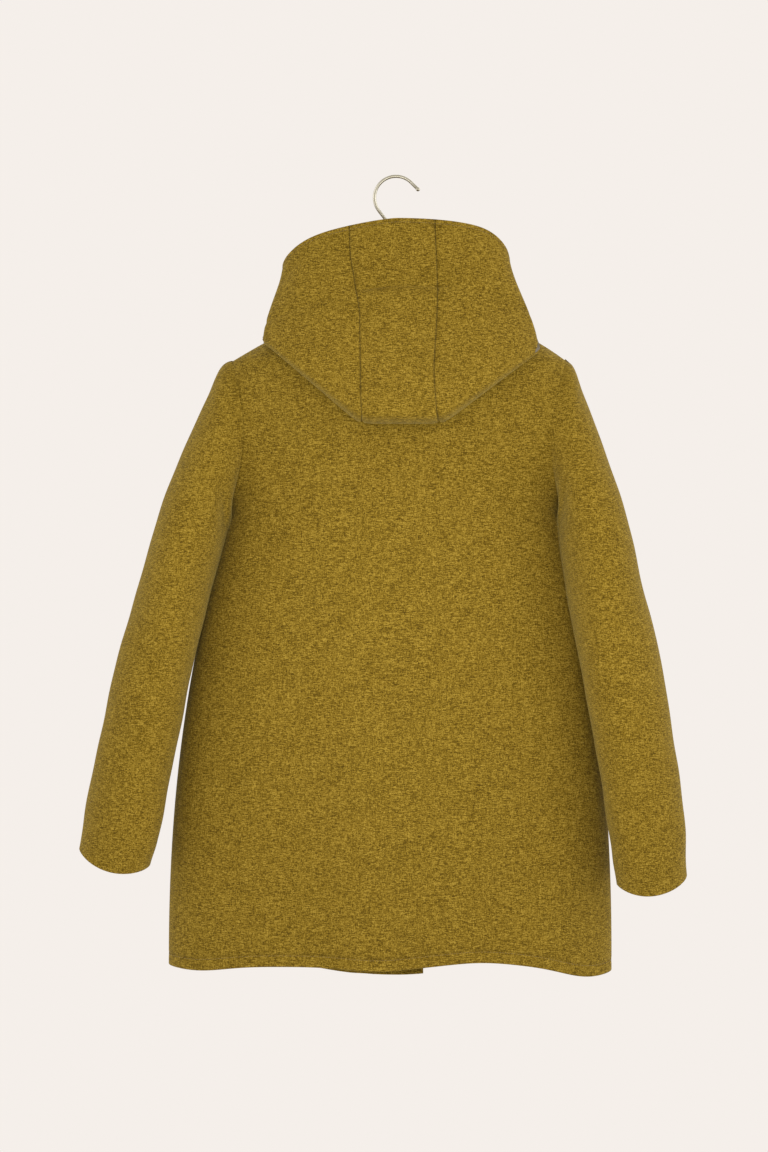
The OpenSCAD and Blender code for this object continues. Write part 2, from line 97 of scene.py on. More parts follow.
def bezier(p, t):
    p, t = np.array(p), np.asarray(t)[..., None]
    return (1 - t) ** 3 * p[0] + 3 * (1 - t) ** 2 * t * p[1] + 3 * (1 - t) * t * t * p[2] + t**3 * p[3]


def stack(x, y, z):
    return np.stack(np.broadcast_arrays(x, y, z), -1).astype(float)


def unit(v):
    return v / np.maximum(np.linalg.norm(v, axis=-1, keepdims=True), 1e-12)


def wobble(p, wavelength, seed, waves=14):
    """Smooth random height, about -1 to 1, that varies over about a wavelength."""
    rng = np.random.default_rng(seed)
    total = np.zeros(p.shape[:-1])
    for direction, phase, scale in zip(unit(rng.normal(size=(waves, 3))), rng.random(waves), rng.random(waves)):
        total += np.sin(2 * PI * (p @ direction / (wavelength * mix(0.7, 1.6, scale)) + phase))
    return total / waves**0.5


# The body's skin
def centre_x(z):
    t = np.clip((SHOULDER_Z - z) / (SHOULDER_Z - HEM_Z), 0, 1)
    yoke = np.clip((NECK_Z - z) / (NECK_Z - SHOULDER_Z), 0, 1)
    return mix(-0.004, 0.007, t) + 0.003 * np.sin(PI * t) - 0.003 * np.sin(PI * yoke)


def centre_y(z):
    return -FORWARD * ease((SHOULDER_Z - z) / 0.16)


def half_width(z):
    t = np.clip((SHOULDER_Z - z) / (SHOULDER_Z - ARMPIT_Z), 0, 1)
    slope = np.clip((NECK_Z - z) / (NECK_Z - SHOULDER_Z), 0, 1)
    yoke = mix(NECK_HALF, SHOULDER_HALF, slope) + 0.009 * np.sin(PI * slope)
    chest = mix(SHOULDER_HALF, CHEST_HALF, t) + CHEST_FULL * np.sin(PI * t)
    skirt = HEM_HALF - (HEM_HALF - CHEST_HALF) * np.clip((z - HEM_Z) / (ARMPIT_Z - HEM_Z), 0, 1) ** 2.2
    return np.where(z > SHOULDER_Z, yoke, np.where(z > ARMPIT_Z, chest, skirt))


def half_depth(z):
    return mix(NECK_DEPTH, BODY_DEPTH, 1 - np.exp(-np.maximum(NECK_Z - z, 0) / 0.09))


def soft_folds(x, z, front):
    """How far the cloth stands out from the plain skin: long soft folds that deepen towards the hem."""
    low = ease((-0.42 - z) / 0.5)
    wave = np.cos(2 * PI * (x - 0.03) / 0.23) + 0.45 * np.cos(2 * PI * (x + 0.09) / 0.127)
    drag = np.exp(-(((np.abs(x) - 0.15 + 0.25 * (z + 0.42)) / 0.02) ** 2)) * np.exp(-(((z + 0.43) / 0.09) ** 2))
    shape = 0.0042 * low * wave * np.where(front, 0.5, 1) - 0.0035 * drag
    seed = np.stack([x, np.where(front, 1.0, 0.0) + 0 * x, z], -1)
    return shape + 0.0009 * wobble(seed, 0.11, 3)


def skin(phi, z, off=0.0):
    z = z + 0 * phi
    c, s = np.cos(phi), np.sin(phi)
    x = centre_x(z) + (half_width(z) + off) * spow(c, 2 / SQUARE)
    bulge = soft_folds(x, z, s < 0) * np.clip(np.abs(s) * 1.6, 0, 1) ** 1.5 * ease((NECK_Z - z) / 0.05)
    y = centre_y(z) + (half_depth(z) + off + bulge) * spow(s, 2 / SQUARE)
    return stack(x, y, z)


def phi_at(x, z):
    r = np.clip((x - centre_x(z)) / half_width(z), -1, 1)
    return np.arccos(spow(r, SQUARE / 2))


def front_at(x, z, off=0.0):
    return skin(-phi_at(x, z), z, off)


ARM_MIDDLE, ARM_HALF = (SHOULDER_Z + ARMPIT_Z) / 2, (SHOULDER_Z - ARMPIT_Z) / 2


def seam_x(z):
    """Distance of the armhole seam from the coat's middle."""
    return 0.187 + 0.017 * ((z - ARM_MIDDLE) / ARM_HALF) ** 2


def seam_lift(z):
    """How far the back's cloth turns up where a sleeve is sewn to it."""
    return 0.006 * np.clip(1 - ((z - ARM_MIDDLE) / ARM_HALF) ** 2, 0, 1)


def armhole_phi(z):
    open_phi = np.arccos(np.clip(seam_x(z) / half_width(z), 0, 1) ** (SQUARE / 2))
    return np.where((z < ARMPIT_Z) | (z > SHOULDER_Z), 0.0026, np.maximum(0.0026, open_phi))


def hump(x, middle, width):
    return bell(x, middle, width)


def back_hem(x):
    dip = 0.007 * hump(x, 0.24, 0.05) + 0.004 * hump(x, 0.02, 0.05) - 0.005 * hump(x, -0.10, 0.05)
    return HEM_Z - 0.002 - dip - 0.015 * hump(x, -0.235, 0.05)


def left_hem(x):
    return HEM_Z - 0.002 - (FRONT_DIP - 0.002) * np.exp(-((x / 0.13) ** 2))


def right_hem(x):
    return HEM_Z - 0.001 + 0.003 * np.cos(2 * PI * x / 0.2)


def lap_step(x):
    return LAP * ease((RIGHT_EDGE + 0.028 - x) / 0.024)


# Meshes
def new_object(name, verts, faces, uv=None, sharp=55):
    mesh = bpy.data.meshes.new(name)
    verts = np.asarray(verts, float)
    if isinstance(faces, np.ndarray) and faces.shape[1] == 4:
        corners = faces.ravel().astype(np.int32)
        mesh.vertices.add(len(verts))
        mesh.vertices.foreach_set("co", verts.ravel())
        mesh.loops.add(len(corners))
        mesh.loops.foreach_set("vertex_index", corners)
        mesh.polygons.add(len(faces))
        mesh.polygons.foreach_set("loop_start", np.arange(0, len(corners), 4, dtype=np.int32))
        mesh.update(calc_edges=True)
    else:
        mesh.from_pydata(verts.tolist(), [], [list(map(int, f)) for f in faces])
        mesh.update()
        corners = np.zeros(len(mesh.loops), np.int32)
        mesh.loops.foreach_get("vertex_index", corners)
    mesh.validate()
    if uv is not None:
        layer = mesh.uv_layers.new(name="cloth")
        layer.data.foreach_set("uv", np.asarray(uv, float)[corners].ravel())
    mesh.polygons.foreach_set("use_smooth", np.ones(len(mesh.polygons), bool))
    mesh.set_sharp_from_angle(angle=np.radians(sharp))
    rest = mesh.attributes.new("rest", "FLOAT_VECTOR", "POINT")
    rest.data.foreach_set("vector", verts.ravel())
    obj = bpy.data.objects.new(name, mesh)
    bpy.context.scene.collection.objects.link(obj)
    return obj


def grid_faces(nu, nv, base=0, wrap=False, flip=False):
    i, j = np.meshgrid(np.arange(nu if wrap else nu - 1), np.arange(nv - 1), indexing="ij")
    i2 = (i + 1) % nu
    quads = np.stack([i * nv + j, i2 * nv + j, i2 * nv + j + 1, i * nv + j + 1], -1).reshape(-1, 4) + base
    return quads[:, ::-1] if flip else quads


def grid_normals(p, wrap=False):
    du = (np.roll(p, -1, 0) - np.roll(p, 1, 0)) if wrap else np.gradient(p, axis=0)
    return unit(np.cross(du, np.gradient(p, axis=1)))


def edge_distance(p, side):
    """Distance along the grid from one side: u0, u1, v0 or v1."""
    axis = 0 if side[0] == "u" else 1
    step = np.linalg.norm(np.diff(p, axis=axis), axis=-1)
    total = np.concatenate([np.zeros_like(np.take(step, [0], axis)), np.cumsum(step, axis)], axis)
    return total if side[1] == "0" else np.take(total, [-1], axis) - total


def spaced(length, rolled=(True, True), lines0=(), lines1=(), step=None):
    """Places from 0 to 1 along a side: even steps, and closer ones at rolled ends and stitch lines."""
    step = step or GRID
    at = list(np.linspace(0, length, max(3, int(np.ceil(length / step)) + 1)))
    near = [0.0, 0.00015, 0.0006, 0.0012, 0.002, 0.0032]
    fine = []
    if rolled[0]:
        fine += near
    if rolled[1]:
        fine += [length - s for s in near]
    for d in lines0:
        fine += [d - 0.0014, d - 0.0007, d, d + 0.0007, d + 0.0014]
    for d in lines1:
        fine += [length - d - 0.0014, length - d - 0.0007, length - d, length - d + 0.0007, length - d + 0.0014]
    keep = [a for a in at if all(abs(a - f) > step * 0.35 for f in fine) or a in (0, length)]
    values = np.unique(np.round(np.clip(keep + fine, 0, length), 6))
    return np.clip(values / length, 0, 1)


def shell(name, p, thick, centre, material, rolled="u0 u1 v0 v1", lines=(), wrap=False):
    """Closed cloth of a given thickness under the surface p (nu, nv, 3). Its rolled sides are round, and each line is a
    stitched groove (side, distance, depth). Returns the object and the outer surface and normals, for stitches."""
    rolled = rolled.split()
    n = grid_normals(p, wrap)
    flip = bool((n * (p - centre)).sum() < 0)
    if flip:
        n = -n
    near = np.full(p.shape[:2], 1.0)
    for side in rolled:
        near = np.minimum(near, edge_distance(p, side))
    r = thick * 0.485
    drop = r - np.sqrt(np.maximum(r * r - (r - np.minimum(near, r)) ** 2, 0))
    groove = np.zeros(p.shape[:2])
    for side, distance, depth, *wide in lines:
        groove += depth * bell(edge_distance(p, side), distance, wide[0] if wide else 0.0011)
    outer = p - n * (drop + groove)[..., None]
    inner = p - n * (thick - drop)[..., None]
    nu, nv = p.shape[:2]
    count = nu * nv
    faces = [grid_faces(nu, nv, 0, wrap, flip), grid_faces(nu, nv, count, wrap, not flip)]

    def rim(loop, closed):
        nxt = np.roll(loop, -1) if closed else loop[1:]
        cur = loop if closed else loop[:-1]
        q = np.stack([cur, cur + count, nxt + count, nxt], -1)
        faces.append(q[:, ::-1] if flip else q)

    ids = np.arange(count).reshape(nu, nv)
    if wrap:
        rim(ids[:, 0], True)
        rim(ids[::-1, -1], True)
    else:
        rim(np.concatenate([ids[:, 0], ids[-1, 1:], ids[-2::-1, -1], ids[0, -2:0:-1]]), True)
    u = edge_distance(p, "u0")
    v = edge_distance(p, "v0")
    even_u = np.broadcast_to(u.mean(1, keepdims=True), u.shape)
    even_v = np.broadcast_to(v.mean(0, keepdims=True), v.shape)
    uv = np.stack([even_u, even_v], -1)
    verts = np.concatenate([outer.reshape(-1, 3), inner.reshape(-1, 3)])
    obj = new_object(name, verts, np.concatenate(faces), np.concatenate([uv.reshape(-1, 2)] * 2))
    obj.data.materials.append(material)
    return obj, outer, n


def along_edge(surface, normals, side, distance):
    """The line at a distance from one side of a surface, with its normals."""
    d = edge_distance(surface, side)
    if side[0] == "u":
        d, surface, normals = d.T, surface.transpose(1, 0, 2), normals.transpose(1, 0, 2)
    line, up = [], []
    for row in range(len(d)):
        order = np.argsort(d[row])
        line.append([np.interp(distance, d[row][order], surface[row][order, k]) for k in range(3)])
        up.append([np.interp(distance, d[row][order], normals[row][order, k]) for k in range(3)])
    return np.array(line), unit(np.array(up))


def resample(line, up, pitch):
    run = np.concatenate([[0], np.cumsum(np.linalg.norm(np.diff(line, axis=0), axis=1))])
    at = np.arange(0.0015, run[-1] - 0.001, pitch)
    pick = lambda a, s: np.stack([np.interp(s, run, a[:, k]) for k in range(3)], 1)
    return pick(line, at), pick(line, np.minimum(at + pitch * 0.76, run[-1])), unit(pick(up, at))


def stitches(name, rows, material, pitch=0.0036, thread=0.00034, lift=0.0001):
    """Thread stitches along several lines, each (points, normals), as one mesh."""
    verts, faces, sides, rings = [], [], 6, [(-1, 0.1), (-0.86, 0.75), (-0.4, 1), (0.4, 1), (0.86, 0.75), (1, 0.1)]
    base = 0
    for line, up in rows:
        a, b, n = resample(line, up, pitch)
        if len(a) == 0:
            continue
        mid, half = (a + b) / 2, (b - a) / 2
        side = unit(np.cross(n, half))
        n2 = unit(np.cross(half, side))
        angle = 2 * PI * np.arange(sides) / sides
        ring = [
            mid[:, None]
            + half[:, None] * t
            + thread * w * (side[:, None] * np.cos(angle)[:, None] + n2[:, None] * np.sin(angle)[:, None])
            + n2[:, None] * lift * (1 - 1.6 * t * t)
            for t, w in rings
        ]
        block = np.stack(ring, 1).reshape(-1, 3)
        m, per = len(a), sides * len(rings)
        r, k = np.meshgrid(np.arange(len(rings) - 1), np.arange(sides), indexing="ij")
        k1, low, high = (k + 1) % sides, r * sides, (r + 1) * sides
        quad = np.stack([low + k, low + k1, high + k1, high + k], -1).reshape(-1, 4)
        last = np.array([[0, 1, 2, 3], [0, 3, 4, 5]]) + per - sides
        ends = np.concatenate([[[5, 4, 3, 2], [5, 2, 1, 0]], last])
        quad = np.concatenate([quad, ends])
        verts.append(block)
        faces.append((quad[None] + (base + np.arange(m) * per)[:, None, None]).reshape(-1, 4))
        base += m * per
    obj = new_object(name, np.concatenate(verts), np.concatenate(faces), sharp=180)
    obj.data.materials.append(material)
    return obj


def loft(name, rings, material, caps=True, sharp=40):
    """Closed solid through rings of points, each (m, 3), with fan caps."""
    rings = [np.asarray(r, float) for r in rings]
    m, faces = len(rings[0]), []
    for i in range(len(rings) - 1):
        for k in range(m):
            a, b = i * m + k, i * m + (k + 1) % m
            faces.append([a, b, b + m, a + m])
    verts = np.concatenate(rings)
    if caps:
        verts = np.concatenate([verts, [rings[0].mean(0)], [rings[-1].mean(0)]])
        last = (len(rings) - 1) * m
        faces += [[len(verts) - 2, (k + 1) % m, k] for k in range(m)]
        faces += [[len(verts) - 1, last + k, last + (k + 1) % m] for k in range(m)]
    obj = new_object(name, verts, faces, sharp=sharp)
    obj.data.materials.append(material)
    return obj


def tube_rings(path, radius, sides=24, up=(0, 1, 0)):
    path, radius = np.asarray(path, float), np.broadcast_to(radius, len(path))
    d = unit(np.gradient(path, axis=0))
    side = unit(np.cross(np.broadcast_to(up, d.shape), d))
    top = np.cross(d, side)
    a = 2 * PI * np.arange(sides) / sides
    cos, sin = np.cos(a)[:, None], np.sin(a)[:, None]
    return [path[i] + radius[i] * (side[i] * cos + top[i] * sin) for i in range(len(path))]


def lathe(name, profile, centre, material, sides=64):
    """Solid turned about Z through centre, from (radius, height) points."""
    a = 2 * PI * np.arange(sides) / sides
    rings = []
    for r, h in profile:
        x, y = centre[0] + r * np.cos(a), centre[1] + r * np.sin(a)
        rings.append(np.stack([x, y, np.full(sides, centre[2] + h)], -1))
    return loft(name, rings, material)


def join(name, objects):
    """One object from several, with one material each."""
    bpy.ops.object.select_all(action="DESELECT")
    for o in objects:
        o.select_set(True)
    bpy.context.view_layer.objects.active = objects[0]
    bpy.ops.object.join()
    objects[0].name = name
    return objects[0]


# Materials
class Shader:
    """A Principled material and short ways to add its nodes."""

    def __init__(self, name):
        self.material = bpy.data.materials.new(name)
        self.material.use_nodes = True
        self.tree = self.material.node_tree
        self.bsdf = self.tree.nodes["Principled BSDF"]

    def node(self, kind, inputs=None, **settings):
        n = self.tree.nodes.new("ShaderNode" + kind)
        for key, value in settings.items():
            setattr(n, key, value)
        for key, value in (inputs or {}).items():
            if isinstance(value, bpy.types.NodeSocket):
                self.tree.links.new(value, n.inputs[key])
            else:
                n.inputs[key].default_value = value
        return n

    def rest(self):
        return self.node("Attribute", attribute_name="rest").outputs["Vector"]

    def scaled(self, vector, scale):
        return self.node("Mapping", {"Vector": vector, "Scale": scale}).outputs["Vector"]

    def noise(self, vector, scale, detail=3.0, rough=0.6):
        inputs = {"Vector": vector, "Scale": scale, "Detail": detail, "Roughness": rough}
        return self.node("TexNoise", inputs).outputs["Fac"]

    def wave(self, vector, scale, direction, **inputs):
        inputs = {"Vector": vector, "Scale": scale, **inputs}
        return self.node("TexWave", inputs, wave_type="BANDS", bands_direction=direction).outputs["Fac"]

    def math(self, operation, a, b=0.0):
        n = self.node("Math", operation=operation)
        for socket, value in zip(n.inputs, (a, b)):
            if isinstance(value, bpy.types.NodeSocket):
                self.tree.links.new(value, socket)
            else:
                socket.default_value = value
        return n.outputs[0]

    def weighed(self, a, weight_a, b, weight_b):
        return self.math("ADD", self.math("MULTIPLY", a, weight_a), self.math("MULTIPLY", b, weight_b))

    def varied(self, base, fac, by):
        return self.math("ADD", base, self.math("MULTIPLY", fac, by))

    def ramp(self, fac, stops):
        n = self.node("ValToRGB", {"Fac": fac})
        n.color_ramp.elements[0].position, n.color_ramp.elements[0].color = stops[0][0], (*stops[0][1], 1)
        n.color_ramp.elements[1].position, n.color_ramp.elements[1].color = stops[-1][0], (*stops[-1][1], 1)
        for position, colour in stops[1:-1]:
            n.color_ramp.elements.new(position).color = (*colour, 1)
        return n.outputs["Color"]

    def bump(self, height, distance, strength=1.0, normal=None):
        inputs = {"Height": height, "Distance": distance, "Strength": strength}
        if normal is not None:
            inputs["Normal"] = normal
        return self.node("Bump", inputs).outputs["Normal"]

    def finish(self, colour=None, normal=None, roughness=None, **values):
        for socket, value in (("Base Color", colour), ("Normal", normal), ("Roughness", roughness)):
            if isinstance(value, bpy.types.NodeSocket):
                self.tree.links.new(value, self.bsdf.inputs[socket])
            elif value is not None:
                self.bsdf.inputs[socket].default_value = value
        for key, value in values.items():
            self.bsdf.inputs[key.replace("_", " ")].default_value = value
        return self.material


def wool_material(name, deep, mid, light, sheen=0.30, nap=1.0):
    """Felted melange wool: flecks of darker and lighter fibre a few millimetres long, under a short nap."""
    s = Shader(name)
    rest = s.rest()
    fleck = s.noise(s.scaled(rest, (1.0, 1.0, 1.4)), 620.0, 3.0, 0.62)
    streak_a = s.noise(s.scaled(rest, (0.30, 0.30, 2.2)), 560.0, 2.0, 0.6)
    streak_b = s.noise(s.scaled(rest, (2.4, 2.4, 0.30)), 540.0, 2.0, 0.6)
    cloud = s.noise(rest, 55.0, 3.0, 0.55)
    threads = s.weighed(streak_a, 0.36, streak_b, 0.22)
    mixed = s.math("ADD", s.math("MULTIPLY", fleck, 0.42), threads)
    tone = s.varied(mixed, s.math("SUBTRACT", cloud, 0.5), 0.04)
    colour = s.ramp(tone, [(0.42, deep), (0.50, mid), (0.58, light)])
    fibre = s.noise(s.scaled(rest, (1.0, 1.0, 1.3)), 1300.0, 3.0, 0.7)
    height = s.weighed(fibre, 0.35, fleck, 0.65)
    normal = s.bump(height, 0.0013 * nap, 0.85)
    normal = s.bump(cloud, 0.0010, 0.15, normal)
    rough = s.varied(0.80, fleck, 0.18)
    nap_light = {"Sheen_Weight": sheen, "Sheen_Roughness": 0.40, "Sheen_Tint": (1.0, 0.86, 0.32, 1)}
    return s.finish(colour, normal, rough, Specular_IOR_Level=0.10, **nap_light)


def satin_material():
    s = Shader("satin_lining")
    rest = s.rest()
    weave = s.wave(rest, 520.0, "DIAGONAL", Distortion=0.4, Detail=1.0)
    cloud = s.noise(rest, 24.0, 3.0)
    tone = s.weighed(weave, 0.25, cloud, 0.75)
    colour = s.ramp(tone, [(0.25, (0.050, 0.036, 0.012)), (0.75, (0.098, 0.072, 0.026))])
    rough = s.varied(0.30, cloud, 0.15)
    normal = s.bump(cloud, 0.0035, 0.5, s.bump(weave, 0.00015, 0.4))
    return s.finish(colour, normal, rough, Sheen_Weight=0.15, Specular_IOR_Level=0.5, Anisotropic=0.3)


def thread_material(name, dark, light):
    s = Shader(name)
    twist = s.noise(s.rest(), 2600.0, 2.0)
    colour = s.ramp(twist, [(0.3, dark), (0.7, light)])
    return s.finish(colour, s.bump(twist, 0.0001, 0.6), 0.62, Sheen_Weight=0.1)


def leather_material():
    s = Shader("leather")
    rest = s.rest()
    voronoi = s.node("TexVoronoi", {"Vector": rest, "Scale": 950.0}, feature="DISTANCE_TO_EDGE")
    cells = voronoi.outputs["Distance"]
    grain = s.math("MINIMUM", s.math("MULTIPLY", cells, 4.0), 1.0)
    wear = s.noise(rest, 60.0, 4.0)
    browns = (0.040, 0.017, 0.007), (0.072, 0.031, 0.012), (0.115, 0.052, 0.021)
    colour = s.ramp(wear, list(zip((0.30, 0.55, 0.80), browns)))
    rough = s.varied(0.38, wear, 0.22)
    return s.finish(colour, s.bump(grain, 0.00025, 0.7, s.bump(wear, 0.0006, 0.3)), rough, Specular_IOR_Level=0.5)


def wood_material(name, axis, dark, light, rough):
    """Lacquered wood whose grain runs along one axis, 0 for X and 2 for Z."""
    s = Shader(name)
    rest = s.rest()
    stretch = [1.0, 1.0, 1.0]
    stretch[axis] = 0.06
    grain = s.noise(s.scaled(rest, stretch), 260.0, 5.0, 0.65)
    ring = s.noise(s.scaled(rest, stretch), 46.0, 2.0, 0.5)
    pores = s.noise(s.scaled(rest, stretch), 1500.0, 2.0, 0.5)
    tone = s.weighed(ring, 0.55, grain, 0.45)
    between = tuple(mix(np.array(dark), np.array(light), 0.6))
    colour = s.ramp(tone, [(0.34, dark), (0.52, between), (0.68, light)])
    roughness = s.varied(rough, pores, 0.12)
    normal = s.bump(pores, 0.0002, 0.5, s.bump(grain, 0.0003, 0.3))
    return s.finish(colour, normal, roughness, Coat_Weight=0.3, Coat_Roughness=0.15)


def metal_material():
    s = Shader("nickel_plate")
    rest = s.rest()
    brush = s.noise(s.scaled(rest, (1.0, 1.0, 0.3)), 900.0, 3.0)
    smear = s.noise(rest, 70.0, 3.0)
    colour = s.ramp(smear, [(0.3, (0.34, 0.32, 0.24)), (0.7, (0.52, 0.50, 0.42))])
    rough = s.varied(0.13, smear, 0.16)
    return s.finish(colour, s.bump(brush, 0.00008, 0.35), rough, Metallic=1.0)


def label_material():
    s = Shader("woven_label")
    rest = s.rest()
    warp, weft = s.wave(rest, 620.0, "X"), s.wave(rest, 620.0, "Z")
    weave = s.math("MULTIPLY", warp, weft)
    colour = s.ramp(weave, [(0.0, (0.52, 0.47, 0.36)), (1.0, (0.72, 0.68, 0.56))])
    return s.finish(colour, s.bump(weave, 0.0002, 0.7), 0.6)


def floor_material():
    s = Shader("plain_floor")
    return s.finish((0.80, 0.80, 0.80, 1), None, 0.95, Specular_IOR_Level=0.0)


DEEP, MID, LIGHT = (0.064, 0.038, 0.0016), (0.155, 0.096, 0.0057), (0.295, 0.199, 0.0265)
wool = wool_material("wool_melange", DEEP, MID, LIGHT, 0.18)
FACING_TONES = (0.135, 0.080, 0.008), (0.25, 0.16, 0.02), (0.37, 0.26, 0.05)
facing_wool = wool_material("wool_facing", *FACING_TONES, 0.2, 0.7)
satin = satin_material()
thread = thread_material("thread", (0.10, 0.062, 0.006), (0.19, 0.12, 0.014))
tan_thread = thread_material("tan_thread", (0.30, 0.19, 0.08), (0.46, 0.32, 0.16))
leather = leather_material()
cord = thread_material("braided_cord", (0.020, 0.010, 0.005), (0.060, 0.032, 0.016))
toggle_wood = wood_material("toggle_wood", 2, (0.055, 0.020, 0.007), (0.20, 0.090, 0.032), 0.26)
hanger_wood = wood_material("hanger_beech", 0, (0.33, 0.165, 0.062), (0.52, 0.31, 0.145), 0.28)
nickel = metal_material()
label_cloth = label_material()


def body_axis(p):
    c = p.copy()
    c[..., 0], c[..., 1] = 0.0, -0.01
    return c


def place(obj, body, slot, *nodes):
    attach(obj, body)
    if nodes:
        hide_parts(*nodes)


def bend(obj, body, start, end, slot, *nodes):
    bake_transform(obj)
    if nodes:
        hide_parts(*nodes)


# Back of the coat
HEM_STITCH = 0.0145
EDGE_STITCH = 0.006


def heights(lines1=(), step=None):
    return spaced(NECK_Z - HEM_Z, (True, True), (), lines1, step)


def back_surface(us, vs, off, hem_up=0.0):
    u, v = us[:, None], vs[None, :]
    phi0 = armhole_phi(mix(NECK_Z, HEM_Z, v))
    x = skin(mix(PI - phi0, phi0, u), mix(NECK_Z, HEM_Z, v))[..., 0]
    z = mix(NECK_Z, back_hem(x) + hem_up, v)
    phi1 = armhole_phi(z)
    p = skin(mix(PI - phi1, phi1, u), z, off)
    from_seam = seam_x(z) - np.abs(p[..., 0] - centre_x(z))
    p[..., 1] += seam_lift(z) * np.exp(-np.maximum(from_seam, 0) / 0.010)
    return p


us, vs = spaced(0.52), heights((HEM_STITCH,))
p = back_surface(us, vs, 0.0)
seams = [("u0", 0.0, 0.0008, 0.0025), ("u1", 0.0, 0.0008, 0.0025)]
back, surface, normals = shell("back", p, WOOL, body_axis(p), wool, "v0 v1", [("v1", HEM_STITCH, 0.0012)] + seams)
place(back, "coat", "wool", "back_panel")
hem_thread = stitches("back_hem_stitches", [along_edge(surface, normals, "v1", HEM_STITCH)], thread)
place(hem_thread, "coat", "wool")

p = back_surface(spaced(0.5, step=0.008), heights(step=0.008), -WOOL - 0.0004, 0.022)
loose = ease(np.minimum(edge_distance(p, "v1"), edge_distance(p, "v0")) / 0.03)[..., None]
p += 0.0012 * (wobble(p, 0.06, 11)[..., None] - 1.2) * unit(p - body_axis(p)) * loose
lining, _, _ = shell("back_lining", p, SATIN, body_axis(p), satin)
place(lining, "coat", "lining", "body_lining")


# Fronts
def front_surface(side, x_out, x_in, z0, z1, us, vs, off, step):
    """Part of a front: u runs from x_out to x_in, or from the side seam when x_out is None, and v from z0 to z1."""
    u, v = us[:, None], vs[None, :]
    guess = mix(HEM_HALF if x_out is None else abs(x_out), side * x_in, u)
    z = mix(z0, z1(side * guess) if callable(z1) else z1, v)
    limit = half_width(z) * 0.97
    end = phi_at(np.clip(x_in, -limit, limit), z)
    if x_out is None:
        start = armhole_phi(z)
        start = start if side > 0 else PI - start
    else:
        start = phi_at(np.clip(x_out, -limit, limit), z)
    phi = mix(start, end, u)
    s = skin(-phi, z, off)
    if step:
        s[..., 1] -= lap_step(s[..., 0])
    return s


TURN_Z = SHOULDER_Z + 0.004
EDGE_ROW_2 = 0.062
UNDER, UNDER_FACING = -WOOL - 0.0006, -WOOL - 0.0004
STRIP_X = 0.140
BEND_START, BEND_END = 0.135, 0.095

